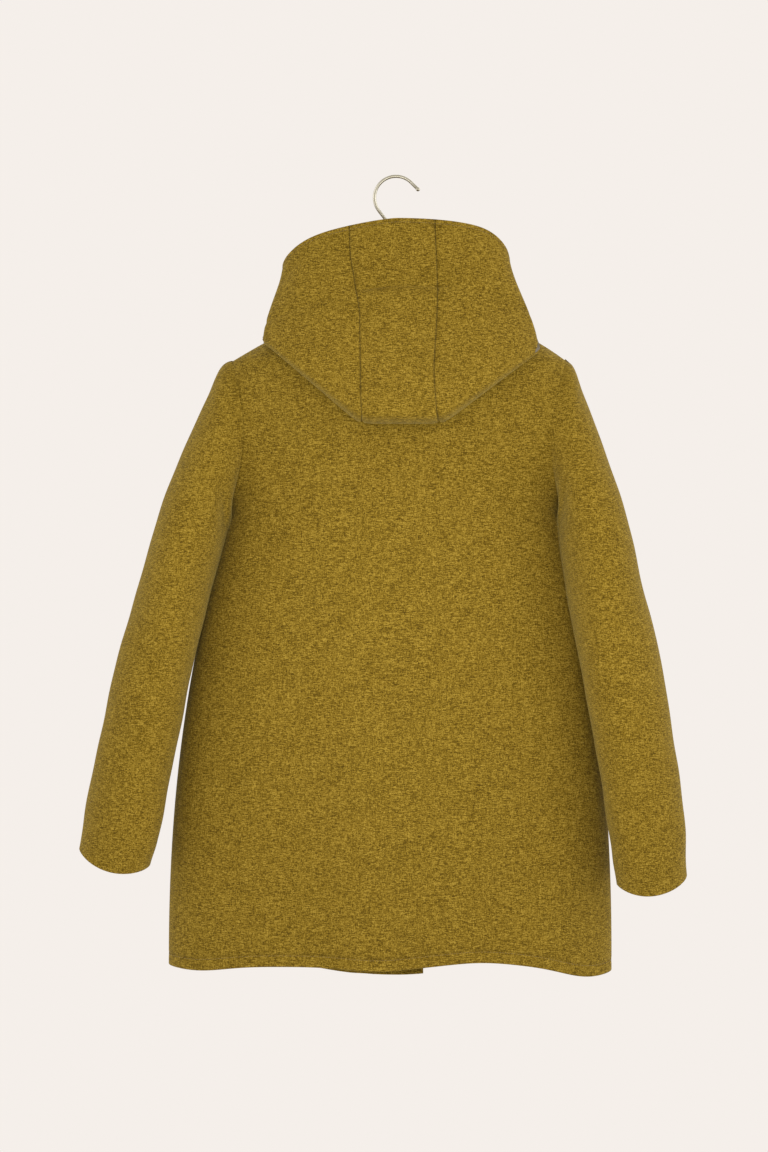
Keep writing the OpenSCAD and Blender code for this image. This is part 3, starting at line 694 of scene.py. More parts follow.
for side, word, edge, hem in ((1, "left", LEFT_EDGE, left_hem), (-1, "right", RIGHT_EDGE, right_hem)):
    lap = side > 0
    free = f"front_{word}"
    edge_lines = [("u1", EDGE_STITCH, 0.0007)]
    across = spaced(0.25, (True, True), (), (EDGE_STITCH,))
    turning = spaced(TURN_Z - CHEST_Z, (False, False))
    falling = spaced(CHEST_Z - HEM_Z, (False, True), (), (HEM_STITCH,))
    # chest above the turning part
    down = spaced(NECK_Z - TURN_Z, (True, False))
    p = front_surface(side, None, edge, NECK_Z, TURN_Z, across, down, 0.0, lap)
    chest, surface, normals = shell(f"{free}_yoke", p, WOOL, body_axis(p), wool, "u0 u1 v0", edge_lines)
    place(chest, "coat", "wool", f"front_{word}_chest")
    rows = [along_edge(surface, normals, "u1", EDGE_STITCH)]
    # beside the armhole
    p = front_surface(side, None, side * FOLD_X, TURN_Z, CHEST_Z, spaced(0.1, (True, False)), turning, 0.0, lap)
    piece, _, _ = shell(f"{free}_armhole_side", p, WOOL, body_axis(p), wool, "u0")
    place(piece, "coat", "wool")
    # side of the skirt
    out = spaced(0.12, (True, False))
    p = front_surface(side, None, side * STRIP_X, CHEST_Z, hem, out, falling, 0.0, lap)
    piece, s2, n2 = shell(f"{free}_side", p, WOOL, body_axis(p), wool, "u0 v1", [("v1", HEM_STITCH, 0.0008)])
    place(piece, "coat", "wool", f"front_{word}_side")
    rows.append(along_edge(s2, n2, "v1", HEM_STITCH))
    place(stitches(f"{free}_side_stitches", rows, thread), "coat", "wool")
    # layer behind the turning cloth, which shows when the front is open
    x_out, x_in, low = side * 0.138, side * 0.072, CHEST_Z - 0.012
    us, vs = spaced(0.066), spaced(TURN_Z - CHEST_Z)
    p = front_surface(side, x_out, x_in, TURN_Z, low, us, vs, UNDER, lap)
    piece, _, _ = shell(f"{free}_underlay", p, SATIN, body_axis(p), wool)
    place(piece, "coat", "wool")
    # cloth between the fold line and the free edge, from the turning height down to the chest
    width = abs(side * FOLD_X - edge)
    us = spaced(width, (False, True), (), (EDGE_STITCH,))
    p = front_surface(side, side * FOLD_X, edge, TURN_Z, CHEST_Z, us, turning, 0.0, lap)
    piece, s2, n2 = shell(f"{free}_turn", p, WOOL, body_axis(p), wool, "u1", edge_lines)
    down_chest = ((0, 0, TURN_Z), (0, 0, CHEST_Z))
    bend(piece, free, *down_chest, "wool")
    row = stitches(f"{free}_turn_stitches", [along_edge(s2, n2, "u1", EDGE_STITCH)], thread)
    bend(row, free, *down_chest, "wool")
    # free part of the front, from the strip to the edge and down to the hem
    width = abs(side * STRIP_X - edge)
    us = spaced(width, (False, True), (), (EDGE_STITCH, EDGE_ROW_2))
    p = front_surface(side, side * STRIP_X, edge, CHEST_Z, hem, us, falling, 0.0, lap)
    lines = edge_lines + [("u1", EDGE_ROW_2, 0.0005), ("v1", HEM_STITCH, 0.0008)]
    piece, s2, n2 = shell(f"{free}_flap", p, WOOL, body_axis(p), wool, "u1 v1", lines)
    across_fold = ((side * BEND_START, 0, 0), (side * BEND_END, 0, 0))
    bend(piece, free, *across_fold, "wool", f"front_{word}_edge")
    places = (("u1", EDGE_STITCH), ("u1", EDGE_ROW_2), ("v1", HEM_STITCH))
    rows = [along_edge(s2, n2, name, distance) for name, distance in places]
    bend(stitches(f"{free}_flap_stitches", rows, thread), free, *across_fold, "wool")
    # facing inside the front edge
    inner = edge + side * 0.082
    near = edge + side * 0.002
    us, vs = spaced(0.08, step=0.008), spaced(CHEST_Z - HEM_Z, step=0.008)
    above_hem = lambda x: hem(x) + 0.012
    p = front_surface(side, inner, near, CHEST_Z - 0.004, above_hem, us, vs, UNDER_FACING, lap)
    piece, _, _ = shell(f"facing_{word}_cloth", p, SATIN, body_axis(p), facing_wool)
    place(piece, free, "wool_facing", f"facing_{word}")
    # lining of the side
    us, vs = spaced(0.11, step=0.008), spaced(NECK_Z - HEM_Z - 0.1, step=0.008)
    above_hem, top = lambda x: hem(x) + 0.02, NECK_Z - 0.09
    p = front_surface(side, None, side * 0.150, top, above_hem, us, vs, UNDER_FACING, False)
    piece, _, _ = shell(f"front_{word}_lining", p, SATIN, body_axis(p), satin)
    place(piece, "coat", "lining")

# Pockets and flaps
def rounded_patch(side, x0, x1, z0, z1, radius, off, crown, step=0.0035):
    """Patch on a front with its lower corners rounded, moved out by off and crowned in the middle."""
    half, middle = (x1 - x0) / 2, (x0 + x1) / 2
    height = z0 - z1
    us = spaced(2 * half, (True, True), (0.005,), (0.005,), step)
    vs = spaced(height, (True, True), (0.005,), (0.005,), step)
    u, v = us[:, None], vs[None, :]
    left = (1 - v) * height
    shrink = radius - np.sqrt(np.maximum(radius**2 - (radius - np.minimum(left, radius)) ** 2, 0))
    x = side * (middle + (half - shrink) * (2 * u - 1))
    z = mix(z0, z1, v) + 0 * u
    lift = off + crown * (np.clip(np.sin(PI * u), 0, 1) * np.clip(np.sin(PI * v), 0, 1)) ** 0.7
    base = front_at(x, z)
    out = unit(base - body_axis(base))
    return base + out * lift[..., None]


for side, word in ((1, "left"), (-1, "right")):
    lo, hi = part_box(f"pocket_{word}")
    x0, x1 = sorted((abs(lo.x), abs(hi.x)))
    p = rounded_patch(side, x0, x1, hi.z, lo.z, 0.022, 0.0040, 0.0035)
    sides = [(s, 0.005, 0.0007) for s in ("u0", "u1", "v1")]
    pocket, s2, n2 = shell(f"patch_pocket_{word}", p, 0.0036, body_axis(p), wool, lines=sides)
    place(pocket, "coat", "wool", f"pocket_{word}")
    rows = [along_edge(s2, n2, s, 0.005) for s in ("u0", "u1", "v1")]
    place(stitches(f"patch_pocket_{word}_stitches", rows, thread), "coat", "wool")
    lo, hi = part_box(f"pocket_flap_{word}")
    x0, x1 = sorted((abs(lo.x), abs(hi.x)))
    p = rounded_patch(side, x0, x1, hi.z, lo.z, 0.012, 0.0092, 0.0020)
    body = f"pocket_flap_{word}"
    flap, s2, n2 = shell(f"flap_{word}", p, 0.0040, body_axis(p), wool, lines=sides)
    place(flap, body, "wool", body)
    rows = [along_edge(s2, n2, s, 0.005) for s in ("u0", "u1", "v1")]
    place(stitches(f"flap_{word}_stitches", rows, thread), body, "wool")

# Sleeves
# side, control points (|x|, z) of the outer and the inner edge, and the depth of the cuff's middle
SLEEVES = {
    "left": (
        1,
        [[0.203, -0.221], [0.278, -0.340], [0.335, -0.560], [0.381, -0.804]],
        [[0.190, -0.398], [0.228, -0.480], [0.262, -0.690], [0.2915, -0.824]],
        0.016,
    ),
    "right": (
        -1,
        [[0.207, -0.221], [0.262, -0.330], [0.324, -0.560], [0.349, -0.832]],
        [[0.190, -0.398], [0.194, -0.480], [0.246, -0.690], [0.260, -0.846]],
        0.038,
    ),
}


def sleeve_surface(side, outer, inner, cuff_y, us, ts, off):
    k, t = 2 * PI * us[:, None], ts[None, :]
    a, b = bezier(outer, ts), bezier(inner, ts)
    c, d = (a + b) / 2, unit(a - b)
    half = np.linalg.norm(a - b, axis=1) / 2
    depth = mix(0.066, 0.046, t) - 0.012 * (1 - t) ** 6
    y0 = mix(-0.006, cuff_y, ease(t * 1.8))
    z = ARM_MIDDLE + (ARM_HALF + 0.003) * np.cos(k)
    tucked = seam_x(z) - 0.004
    open_y = half_depth(z) * (1 - np.clip(tucked / half_width(z), 0, 1) ** SQUARE) ** (1 / SQUARE)
    y = centre_y(z) + np.sign(np.sin(k)) * open_y + seam_lift(z) * (np.sin(k) > 0)
    ring = stack(centre_x(z) + side * tucked, y, z)
    # folds: a pinch under the arm, slack above the elbow and a soft ridge down the back of the sleeve
    pinch = -0.010 * bell(t, 0.10, 0.05) * bell(k, 0.80 * PI, 0.5)
    ridge = 0.0035 * np.cos(k - 0.45 * PI) * bell(t, 0.35, 0.25) * np.cos(2 * (k - 0.5 * PI))
    slack = 0.0022 * np.sin(2 * PI * (3.1 * t + 0.12 * np.cos(k))) * bell(t, 0.5, 0.22) * np.cos(k / 2) ** 2
    cuff = -0.0025 * ease((t - 0.93) / 0.07)
    head = 0.008 * bell(t, 0.04, 0.035) * np.clip(np.cos(k), 0, 1) ** 1.5
    puff = pinch + ridge + slack + cuff + head + off
    x = side * (c[None, :, 0] + d[None, :, 0] * (half + puff) * np.cos(k))
    droop = 0.015 * np.maximum(np.sin(k), 0) ** 1.5 * ease((t - 0.8) / 0.2)
    zt = c[None, :, 1] + d[None, :, 1] * (half + puff) * np.cos(k) - droop
    yt = y0 + (depth + puff) * spow(np.sin(k), 0.94)
    tube = stack(x, yt, zt)
    w = (1 - (1 - np.clip(t / 0.085, 0, 1)) ** 2.0)[..., None]
    inside = stack(side * 0.21, -0.01, -0.311)
    p = mix(ring + unit(ring - inside) * (off - 0.0012), tube, w)
    out = unit(tube - stack(side * c[None, :, 0], y0, c[None, :, 1]))
    return p + out * (0.0010 * wobble(p, 0.07, 5))[..., None]


for word, (side, outer, inner, cuff_y) in SLEEVES.items():
    around = 150
    us = np.arange(around) / around
    ts = spaced(0.61, (True, True), (0.003,), ())
    p = sleeve_surface(side, outer, inner, cuff_y, us, ts, 0.0)
    axis = np.broadcast_to(p.mean(0), p.shape)
    sleeve, _, _ = shell(f"sleeve_{word}_cloth", p, WOOL, axis, wool, "v1", wrap=True)
    start, end = (side * 0.192, 0, 0), (side * 0.232, 0, 0)
    bend(sleeve, f"sleeve_{word}", start, end, "wool", f"sleeve_{word}")
    p = sleeve_surface(side, outer, inner, cuff_y, us[::2], spaced(0.61, step=0.009) * 0.965, UNDER)
    axis = np.broadcast_to(p.mean(0), p.shape)
    lining, _, _ = shell(f"sleeve_{word}_satin", p, SATIN, axis, satin, "v0 v1", wrap=True)
    bend(lining, f"sleeve_{word}", start, end, "lining", f"sleeve_{word}_lining")

# Hood
POUCH_LEFT, POUCH_RIGHT, POUCH_LOW = 0.167, 0.179, -0.2985
RIM_HALF, RIM_TOP, RIM_Y, BELLY_Y = 0.138, -0.0575, 0.083, 0.104
FACING_WIDE, RIM_STITCH = 0.078, 0.006
LEG = 0.40
TURN = 0.085


def hood_point(th, v):
    """Point of the hood's skin. th is the plan angle from the back, and v runs from the neck seam down and up."""
    s, c = np.sin(th), np.cos(th)
    neck = skin(PI / 2 - th, NECK_Z + 0 * v, 0.0) + stack(0 * s, 0 * s, 0.0005 + 0 * v)
    back = np.maximum(c, 0)
    xf = np.where(s > 0, POUCH_LEFT, POUCH_RIGHT) * s
    run = np.abs(xf) - np.where(s > 0, 0.044, 0.056)
    zf = POUCH_LOW + np.where(s > 0, 0.86, 0.76) * 0.5 * (run + np.sqrt(run * run + 0.005**2))
    zf = np.minimum(zf, -0.180 + 0.02 * np.abs(s))

    def clear(x, z):
        across = 1 - (np.abs(x - centre_x(z)) / (half_width(z) + 0.014)) ** SQUARE
        return centre_y(z) + (half_depth(z) + 0.005) * np.clip(across, 0, 1) ** (1 / SQUARE)

    # leg that lies on the coat's back
    t = np.clip(v / LEG, 0, 1)
    xi, zi = mix(neck[..., 0], xf, ease(t)), mix(neck[..., 2], zf, t)
    yi = mix(neck[..., 1], clear(xi, zi) + 0.002, ease(t * 5))
    leg = stack(xi, yi, zi)
    # outer leg, from the fold up to the rim
    q = np.clip((v - LEG) / (1 - LEG), 0, 1)
    a = np.minimum(q / TURN, 1) * PI / 2
    bottom = 0.05
    h = np.where(q < TURN, bottom * (1 - np.cos(a)), bottom + (1 - bottom) * (q - TURN) / (1 - TURN))
    reach = np.abs(s)
    rim_z = RIM_TOP - np.where(s > 0, 0.027 * reach**1.3 + 0.022 * reach**7, 0.014 * reach**2.2 + 0.028 * reach**9)
    zo = mix(zf, rim_z, h)
    xo = mix(xf, RIM_HALF * s, ease(h * 0.9 + 0.05))
    stitch_h = 1 - FACING_WIDE / 0.245
    dip = 0.0050 * bell(h, stitch_h, np.where(h > stitch_h, 0.09, 0.025))
    lean = 0.009 * ease((h - stitch_h) / (1 - stitch_h))
    swell = (BELLY_Y - RIM_Y) * (1 - ease(h / stitch_h)) + lean - dip
    full = 0.008 + (RIM_Y + swell - 0.008) * back**0.80
    foot = clear(xf, zf) + 0.002
    yo = foot + (np.maximum(full, foot + 0.004 * back) - foot) * np.sin(a)
    outer = stack(xo, yo, zo)
    pouch = np.where((v < LEG)[..., None], leg, outer)
    # round the throat the side panels stand up from the neck seam
    top = stack((RIM_HALF - 0.004) * s, 0.006 + 0.056 * c, -0.104 - 0.034 * c * c)
    stand = mix(neck, top, v[..., None]) + stack(0.012 * s, 0.006 * c, 0 * c) * np.sin(PI * v)[..., None]
    return mix(pouch, stand, ease((np.abs(th) - 1.22) / 0.55)[..., None])


def hood_patch(from_th, to_th, us, vs, off=0.0):
    u, v = us[:, None], np.broadcast_to(vs[None, :], (len(us), len(vs)))
    th = mix(from_th(vs)[None, :], to_th(vs)[None, :], u)
    p = hood_point(th, v)
    if off:
        n = grid_normals(p)
        sign = 1 if (n[:, -8:] * (p[:, -8:] - np.array([0, 0, -0.1]))).sum() > 0 else -1
        p = p + sign * n * off
    return p


def seam(v, side):
    """Plan angle of the seam between the hood's centre and one side panel."""
    h = np.clip(0.05 + 0.95 * (v - LEG) / (1 - LEG), 0, 1)
    bow = 0.0405 + 0.004 * h + 0.011 * ease((h - 0.55) / 0.35)
    if side < 0:
        bow = 0.0455 + 0.010 * np.exp(-h / 0.08)
        bow = bow + 0.003 * bell(h, 0.7, 0.2) - 0.002 * bell(h, 0.33, 0.12)
    reach = mix(POUCH_LEFT if side > 0 else POUCH_RIGHT, RIM_HALF, ease(h * 0.9 + 0.05))
    return side * np.arcsin(mix(0.030 / NECK_HALF, bow / reach, ease(v / LEG)))


THROAT = np.radians(167)
hood_v = spaced(0.408, (True, True), (), (RIM_STITCH, FACING_WIDE), 0.0045)
fine_fold = LEG + (1 - LEG) * TURN * np.linspace(0, 1, 9)
hood_v = np.unique(np.round(np.concatenate([hood_v, fine_fold]), 5))
side_u = spaced(0.30)
HOOD_START, HOOD_END = (0, 0.0, 0), (0, 0.075, 0)
hood_rows = []
for name, a, b, us, node in (
    ("hood_centre", lambda v: seam(v, -1), lambda v: seam(v, 1), spaced(0.10), "hood_centre_panel"),
    ("hood_left", lambda v: seam(v, 1), lambda v: THROAT + 0 * v, side_u, "hood_left_panel"),
    ("hood_right", lambda v: -THROAT + 0 * v, lambda v: seam(v, -1), side_u, "hood_right_panel"),
):
    p = hood_patch(a, b, us, hood_v)
    n = grid_normals(p)
    centre = p - np.sign((n[:, -8:] * (p[:, -8:] - np.array([0, 0, -0.1]))).sum()) * n
    joins = {"hood_centre": ("u0", "u1"), "hood_left": ("u0",), "hood_right": ("u1",)}[name]
    lines = [("v1", RIM_STITCH, 0.0008), ("v1", FACING_WIDE, 0.0014, 0.0025)]
    lines += [(join_side, 0.0, 0.0016, 0.0035) for join_side in joins]
    panel, s2, n2 = shell(name, p, WOOL, centre, wool, lines=lines)
    nodes = [node] + ([f"{name}_throat"] if name != "hood_centre" else [])
    bend(panel, "hood", HOOD_START, HOOD_END, "wool", *nodes)
    rim_row = along_edge(s2, n2, "v1", RIM_STITCH)
    hood_rows.append(rim_row)
bend(stitches("hood_stitches", hood_rows, thread), "hood", HOOD_START, HOOD_END, "wool")

inside_v = spaced(0.40, step=0.008)
rim_part = FACING_WIDE / 0.32
for name, v0, v1, material, slot, node in (
    ("hood_facing", 1 - rim_part, 0.994, facing_wool, "wool_facing", "hood_rim_facing"),
    ("hood_satin", 0.03, 1 - rim_part - 0.004, satin, "lining", "hood_lining"),
):
    vs = v0 + (v1 - v0) * inside_v
    from_th, to_th = lambda v: -THROAT * 0.985 + 0 * v, lambda v: THROAT * 0.985 + 0 * v
    p = hood_patch(from_th, to_th, spaced(0.62, step=0.008), vs, UNDER)
    n = grid_normals(p)
    centre = p - np.sign((n[:, -3:] * (p[:, -3:] - np.array([0, 0, -0.1]))).sum()) * n
    piece, _, _ = shell(name, p, SATIN, centre, material)
    bend(piece, "hood", HOOD_START, HOOD_END, slot, node)

# Inside the neck
us, vs = spaced(0.13, step=0.006), spaced(0.055, step=0.006)
u, v = us[:, None], vs[None, :]
z = mix(NECK_Z - 0.001, NECK_Z - 0.060, v)
p = skin(mix(np.radians(150), np.radians(30), u), z, -WOOL - SATIN - 0.0010)
piece, _, _ = shell("neck_facing", p, SATIN, body_axis(p), facing_wool)
place(piece, "coat", "wool_facing", "back_neck_facing")
lo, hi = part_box("neck_label")
p = skin(mix(np.radians(108), np.radians(72), u), mix(hi.z, lo.z, v), -WOOL - 2 * SATIN - 0.0014)
piece, _, _ = shell("blank_label", p, 0.0008, body_axis(p), label_cloth)
place(piece, "coat", "label", "neck_label")
lo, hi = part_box("hanging_loop")
t = np.linspace(0, 1, 60)
bow = mix(hi.y, lo.y, np.sin(PI * t) ** 0.35)
path = np.stack([mix(lo.x, hi.x, t), bow, np.full(60, (lo.z + hi.z) / 2)], -1)
u = np.linspace(-1, 1, 9)
p = path[:, None] + np.stack([0 * u, 0 * u, u * (hi.z - lo.z) / 2], -1)[None]
piece, _, _ = shell("loop_strap", p, 0.0016, p + np.array([0, 1, 0]), facing_wool)
place(piece, "coat", "wool_facing", "hanging_loop")

# Tabs, loops and toggles
def rounded_outline(half_w, half_h, radius, inset, m=18):
    """Rounded rectangle drawn in by inset, as (x, z) points."""
    r = max(radius - inset, 0.0005)
    a, b = half_w - inset - r, half_h - inset - r
    points = []
    for cx, cz, start in ((a, b, 0), (-a, b, 90), (-a, -b, 180), (a, -b, 270)):
        for k in range(m):
            angle = np.radians(start + 90 * k / (m - 1))
            points.append((cx + r * np.cos(angle), cz + r * np.sin(angle)))
    return np.array(points)


TAB_T = 0.002


def tab_lean(lo, hi):
    """Mean depth of a tab's back face and how it leans with height, from the tab's box."""
    drop = hi.y - lo.y - TAB_T
    return hi.y - drop / 2, drop / (hi.z - lo.z)


def tab(name, lo, hi):
    """Leather tab with a bevelled edge, its back at the larger y, leaning as its box shows."""
    cx, cz = (lo.x + hi.x) / 2, (lo.z + hi.z) / 2
    w, h, t = (hi.x - lo.x) / 2, (hi.z - lo.z) / 2, TAB_T
    back_y, slope = tab_lean(lo, hi)
    rings = []
    back = ((0.004, 0), (0.0004, 0), (0, 0.0003))
    edge = ((0, t - 0.0007), (0.0003, t - 0.0002), (0.0009, t))
    stitch_groove = ((0.0018, t - 0.0001), (0.0024, t - 0.00035), (0.0030, t - 0.0001))
    face = ((0.006, t + 0.0002), (0.014, t + 0.0004))
    for inset, depth in back + edge + stitch_groove + face:
        o = rounded_outline(w, h, 0.007, inset)
        rings.append(np.stack([cx + o[:, 0], back_y + slope * o[:, 1] - depth, cz + o[:, 1]], -1))
    return loft(name, rings[::-1], leather, sharp=70)


def tab_rows(lo, hi):
    cx, cz = (lo.x + hi.x) / 2, (lo.z + hi.z) / 2
    back_y, slope = tab_lean(lo, hi)
    o = rounded_outline((hi.x - lo.x) / 2, (hi.z - lo.z) / 2, 0.007, 0.0024)
    o = np.concatenate([o, o[:1]])
    line = np.stack([cx + o[:, 0], back_y + slope * o[:, 1] - TAB_T + 0.0002, cz + o[:, 1]], -1)
    return line, np.broadcast_to([0.0, -1.0, 0.0], line.shape).copy()


def node_groups(node):
    """Boxes of the separate solids of a node, by height."""
    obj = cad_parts[node]
    co = np.array([v.co for v in obj.data.vertices])
    middle = np.sort(co[:, 2])
    cuts = np.where(np.diff(middle) > 0.05)[0]
    bounds = np.split(middle, cuts + 1)
    boxes = []
    for b in bounds[::-1]:
        part = co[(co[:, 2] >= b[0] - 1e-6) & (co[:, 2] <= b[-1] + 1e-6)]
        boxes.append((Vector(part.min(0)), Vector(part.max(0))))
    return boxes


def braid(name, paths, diameter, material):
    """Round braided cord along each path: three twisted strands."""
    objects = []
    strand, offset, pitch = diameter * 0.29, diameter * 0.21, diameter * 2.6
    for path in paths:
        run = np.concatenate([[0], np.cumsum(np.linalg.norm(np.diff(path, axis=0), axis=1))])
        s = np.linspace(0, run[-1], max(12, int(run[-1] / 0.0006)))
        line = np.stack([np.interp(s, run, path[:, k]) for k in range(3)], 1)
        d = unit(np.gradient(line, axis=0))
        side = unit(np.cross(d, np.array([0.0, 1.0, 0.0])))
        up = np.cross(side, d)
        for k in range(3):
            a = 2 * PI * (s / pitch + k / 3)
            helix = line + offset * (side * np.cos(a)[:, None] + up * np.sin(a)[:, None])
            objects.append(loft("strand", tube_rings(helix, strand, 8), material, sharp=180))
    return join(name, objects)


for kind, body in (("loop", "front_left"), ("toggle", "front_right")):
    tab_objects, rows = [], []
    for i, (lo, hi) in enumerate(node_groups(f"{kind}_tabs")):
        tab_objects.append(tab(f"{kind}_tab_{i + 1}", lo, hi))
        rows.append(tab_rows(lo, hi))
    place(join(f"{kind}_tab_leathers", tab_objects), body, "leather", f"{kind}_tabs")
    place(stitches(f"{kind}_tab_stitches", rows, tan_thread, 0.0026, 0.0003), body, "leather")

CORD = 0.0035
paths = []
for lo, hi in node_groups("loops"):
    cz, cy = (lo.z + hi.z) / 2, (lo.y + hi.y) / 2
    r = (hi.z - lo.z - CORD) / 2
    bend_x = lo.x + CORD / 2 + r
    a = np.linspace(0, PI, 24)
    curve = np.stack([bend_x - r * np.sin(a), np.full(24, cy), cz + r * np.cos(a)], -1)
    top = np.array([[hi.x + 0.006, cy + 0.0005, cz + r * 0.55], [hi.x, cy, cz + r * 0.8]])
    paths.append(np.concatenate([top, curve, (top * [1, 1, -1] + [0, 0, 2 * cz])[::-1]]))
loops = braid("loop_cords", paths, CORD, cord)
place(loops, "front_left", "cord", "loops")

for i in range(1, 5):
    lo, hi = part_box(f"toggle_{i}")
    centre = (lo + hi) / 2
    half, r = (hi.z - lo.z) / 2, (hi.x - lo.x) / 2
    profile = [(0.0002, -half)]
    for s in np.linspace(-0.985, 0.985, 61):
        body_r = r * (1 - 0.42 * abs(s) ** 2.2) * min(1, ((1 - abs(s)) / 0.10) ** 0.5 + 0.12)
        groove = 0.0009 * np.exp(-((s * half / 0.0026) ** 2))
        profile.append((body_r - groove, s * half))
    profile.append((0.0002, half))
    toggle = lathe(f"wood_toggle_{i}", profile, centre, toggle_wood)
    place(toggle, f"toggle_{i}", "horn_wood", f"toggle_{i}")
    lo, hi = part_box(f"toggle_cord_{i}")
    cy, cz = (lo.y + hi.y) / 2, (lo.z + hi.z) / 2
    gap = CORD * 0.62
    wrap = np.linspace(0.35, PI, 22)
    wrap_r = r - 0.0004 + CORD / 2
    rows = []
    for s in (1, -1):
        start = np.array([lo.x - 0.0006, cy, cz + s * gap])
        near = np.array([hi.x - 0.004, cy, cz + s * gap])
        x, y = centre.x - wrap_r * np.cos(wrap), centre.y - wrap_r * np.sin(wrap)
        ring = np.stack([x, y, np.full(22, cz + s * gap * 0.55)], -1)
        rows.append(np.concatenate([[start], [near], ring]))
    cords = braid(f"toggle_{i}_cords", rows, CORD, cord)
    place(cords, f"toggle_{i}", "cord", f"toggle_cord_{i}")

# Hanger
a = np.linspace(0, 2 * PI, 40, endpoint=False)
rings = []
reach = bar_hi.x
rounding = 0.009 * (1 - np.cos(np.linspace(0.12, PI / 2, 8)))
between = np.linspace(-reach + 0.012, reach - 0.012, 120)
for x in np.concatenate([-reach + rounding, between, (reach - rounding)[::-1]]):
    t = abs(x) / reach
    end = np.sqrt(max(0.02, 1 - max(0, (abs(x) - reach + 0.009) / 0.0091) ** 2))
    cz = -0.1275 - 0.1085 * (np.sqrt(t * t + 0.006) - 0.0775)
    half_h, half_t = mix(0.0145, 0.0088, t) * end, (bar_hi.y - bar_lo.y) / 2 * end
    y, z = half_t * spow(np.cos(a), 0.8), cz + half_h * spow(np.sin(a), 0.85)
    rings.append(np.stack([np.full(40, x), y, z], -1))
bar = loft("hanger_arms", rings[::-1], hanger_wood)
top = bar_hi.z
# (radius, depth below the top) of the hub
hub_profile = [
    (0.0055, 0.03), (0.0104, 0.03), (0.0105, 0.012), (0.0102, 0.004),
    (0.0094, 0.0012), (0.0084, 0.0001), (0.0055, 0),
]
hub = lathe("hanger_hub", [(r, top - d) for r, d in hub_profile], (0, 0, 0), hanger_wood)
bar = join("wooden_bar", [bar, hub])
place(bar, "coat", "hanger_wood", "hanger_bar")

bore = WIRE / 2 + 0.00006
fz0, fz1 = ferrule_lo.z, ferrule_hi.z
flange = ferrule_hi.x
# (radius, height) down the ferrule's bore and up its outside
ferrule_profile = [
    (bore, fz1 - 0.0002), (bore, fz0), (0.0040, fz0), (0.0040, fz1 - 0.0027), (0.0041, fz1 - 0.0025),
    (flange - 0.0004, fz1 - 0.0024), (flange, fz1 - 0.0019), (flange, fz1 - 0.0011),
    (flange - 0.0004, fz1 - 0.0004), (flange - 0.0014, fz1), (bore + 0.0004, fz1), (bore, fz1 - 0.0002),
]
ferrule = lathe("ferrule", ferrule_profile, (0, 0, 0), nickel)
place(ferrule, "coat", "hook_metal", "hanger_ferrule")

ring_r = HOOK_R + WIRE / 2
TIP, LOW, ELBOW, TIP_LEN = np.radians(45), np.radians(217.5), 0.012, 0.014
elbow_turn = LOW - PI


def on_ring(angle):
    return np.stack([-ring_r * np.cos(angle), 0 * angle, -HOOK_R + ring_r * np.sin(angle)], -1)


low = on_ring(np.array(LOW))
step_z = np.cos(LOW)
run = (low[0] - ELBOW * (1 - np.cos(elbow_turn))) / -np.sin(LOW)
elbow_z = low[2] + run * step_z - ELBOW * np.sin(elbow_turn)
down = np.array([-np.sin(TIP), 0, -np.cos(TIP)])
tip = on_ring(np.array(TIP)) + TIP_LEN * down
ball = np.array([0.00005, 0.0003, 0.0008, 0.0014, 0.0022, 0.0030, 0.0038, 0.0044, 0.005])
arc = on_ring(np.linspace(TIP, LOW, 90))
bend_a = elbow_turn * (1 - np.linspace(0, 1, 16))
curve = np.stack([ELBOW * (1 - np.cos(bend_a)), 0 * bend_a, elbow_z + ELBOW * np.sin(bend_a)], -1)
shank = [[0, 0, hook_lo.z + 0.003], [0, 0, hook_lo.z]]
path = np.concatenate([[tip - s * down for s in ball], arc, curve, shank])
radius = np.full(len(path), WIRE / 2)
big = WIRE / 2 + 0.0006
dome = [np.sqrt(max(big**2 - (big - s) ** 2, 1e-9)) for s in ball]
narrowing = [mix(big, WIRE / 2, ease((s - big) / 0.0024)) for s in ball]
radius[: len(ball)] = [d if s < big else n for s, d, n in zip(ball, dome, narrowing)]
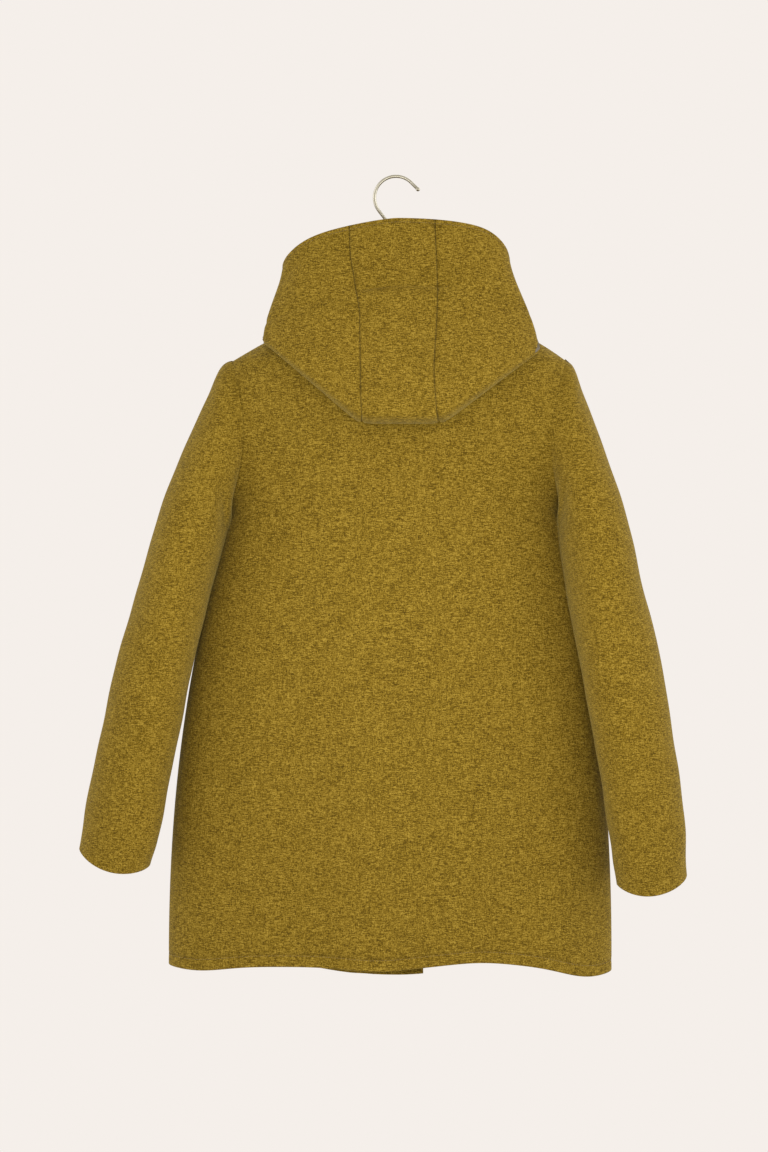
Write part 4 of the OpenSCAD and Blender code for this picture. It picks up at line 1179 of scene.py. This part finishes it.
hook = loft("hook", tube_rings(path, radius, 28), nickel, sharp=60)
place(hook, "hook", "hook_metal", "hanger_hook")

# Stage, light and camera
FLOOR_Z, FLOOR_HALF = -2.05, 2.4
corners = [(-FLOOR_HALF, -FLOOR_HALF), (FLOOR_HALF, -FLOOR_HALF), (FLOOR_HALF, FLOOR_HALF), (-FLOOR_HALF, FLOOR_HALF)]
floor = new_object("floor", [(x, y, FLOOR_Z) for x, y in corners], [[0, 1, 2, 3]], sharp=180)
floor.data.materials.append(floor_material())

world = bpy.data.worlds.new("studio")
bpy.context.scene.world = world
world.use_nodes = True
world.node_tree.nodes["Background"].inputs["Color"].default_value = (1.0, 0.946, 0.901, 1)
world.node_tree.nodes["Background"].inputs["Strength"].default_value = 0.913


def lamp(name, kind, position, strength, target=(0, 0, -0.5), colour=(1, 0.98, 0.95), **settings):
    light = bpy.data.lights.new(name, kind)
    light.energy, light.color = strength, colour
    for key, value in settings.items():
        setattr(light, key, value)
    obj = bpy.data.objects.new(name, light)
    obj.location = position
    obj.rotation_euler = (Vector(target) - Vector(position)).to_track_quat("-Z", "Y").to_euler()
    obj.visible_camera = False
    bpy.context.scene.collection.objects.link(obj)


lamp("softbox", "AREA", (-0.04, 0.80, -0.47), 4.6, shape="SQUARE", size=0.7)
lamp("key", "SUN", (0.9, 2.2, 1.6), 0.12, angle=np.radians(50))
lamp("fill", "SUN", (-2.6, 0.7, 0.1), 1.5, angle=np.radians(60))
lamp("edge", "SUN", (2.6, 0.6, 0.1), 1.0, angle=np.radians(60))
lamp("front", "SUN", (-0.8, -2.6, 1.2), 0.60, angle=np.radians(50))

camera_data = bpy.data.cameras.new("camera")
camera_data.lens, camera_data.sensor_width = 104.17, 36
camera = bpy.data.objects.new("camera", camera_data)
camera.location = (0.0144, 4.0, -0.4776)
camera.rotation_euler = (PI / 2, 0, PI)
bpy.context.scene.collection.objects.link(camera)
bpy.context.scene.camera = camera
bpy.context.scene.view_settings.view_transform = "Standard"
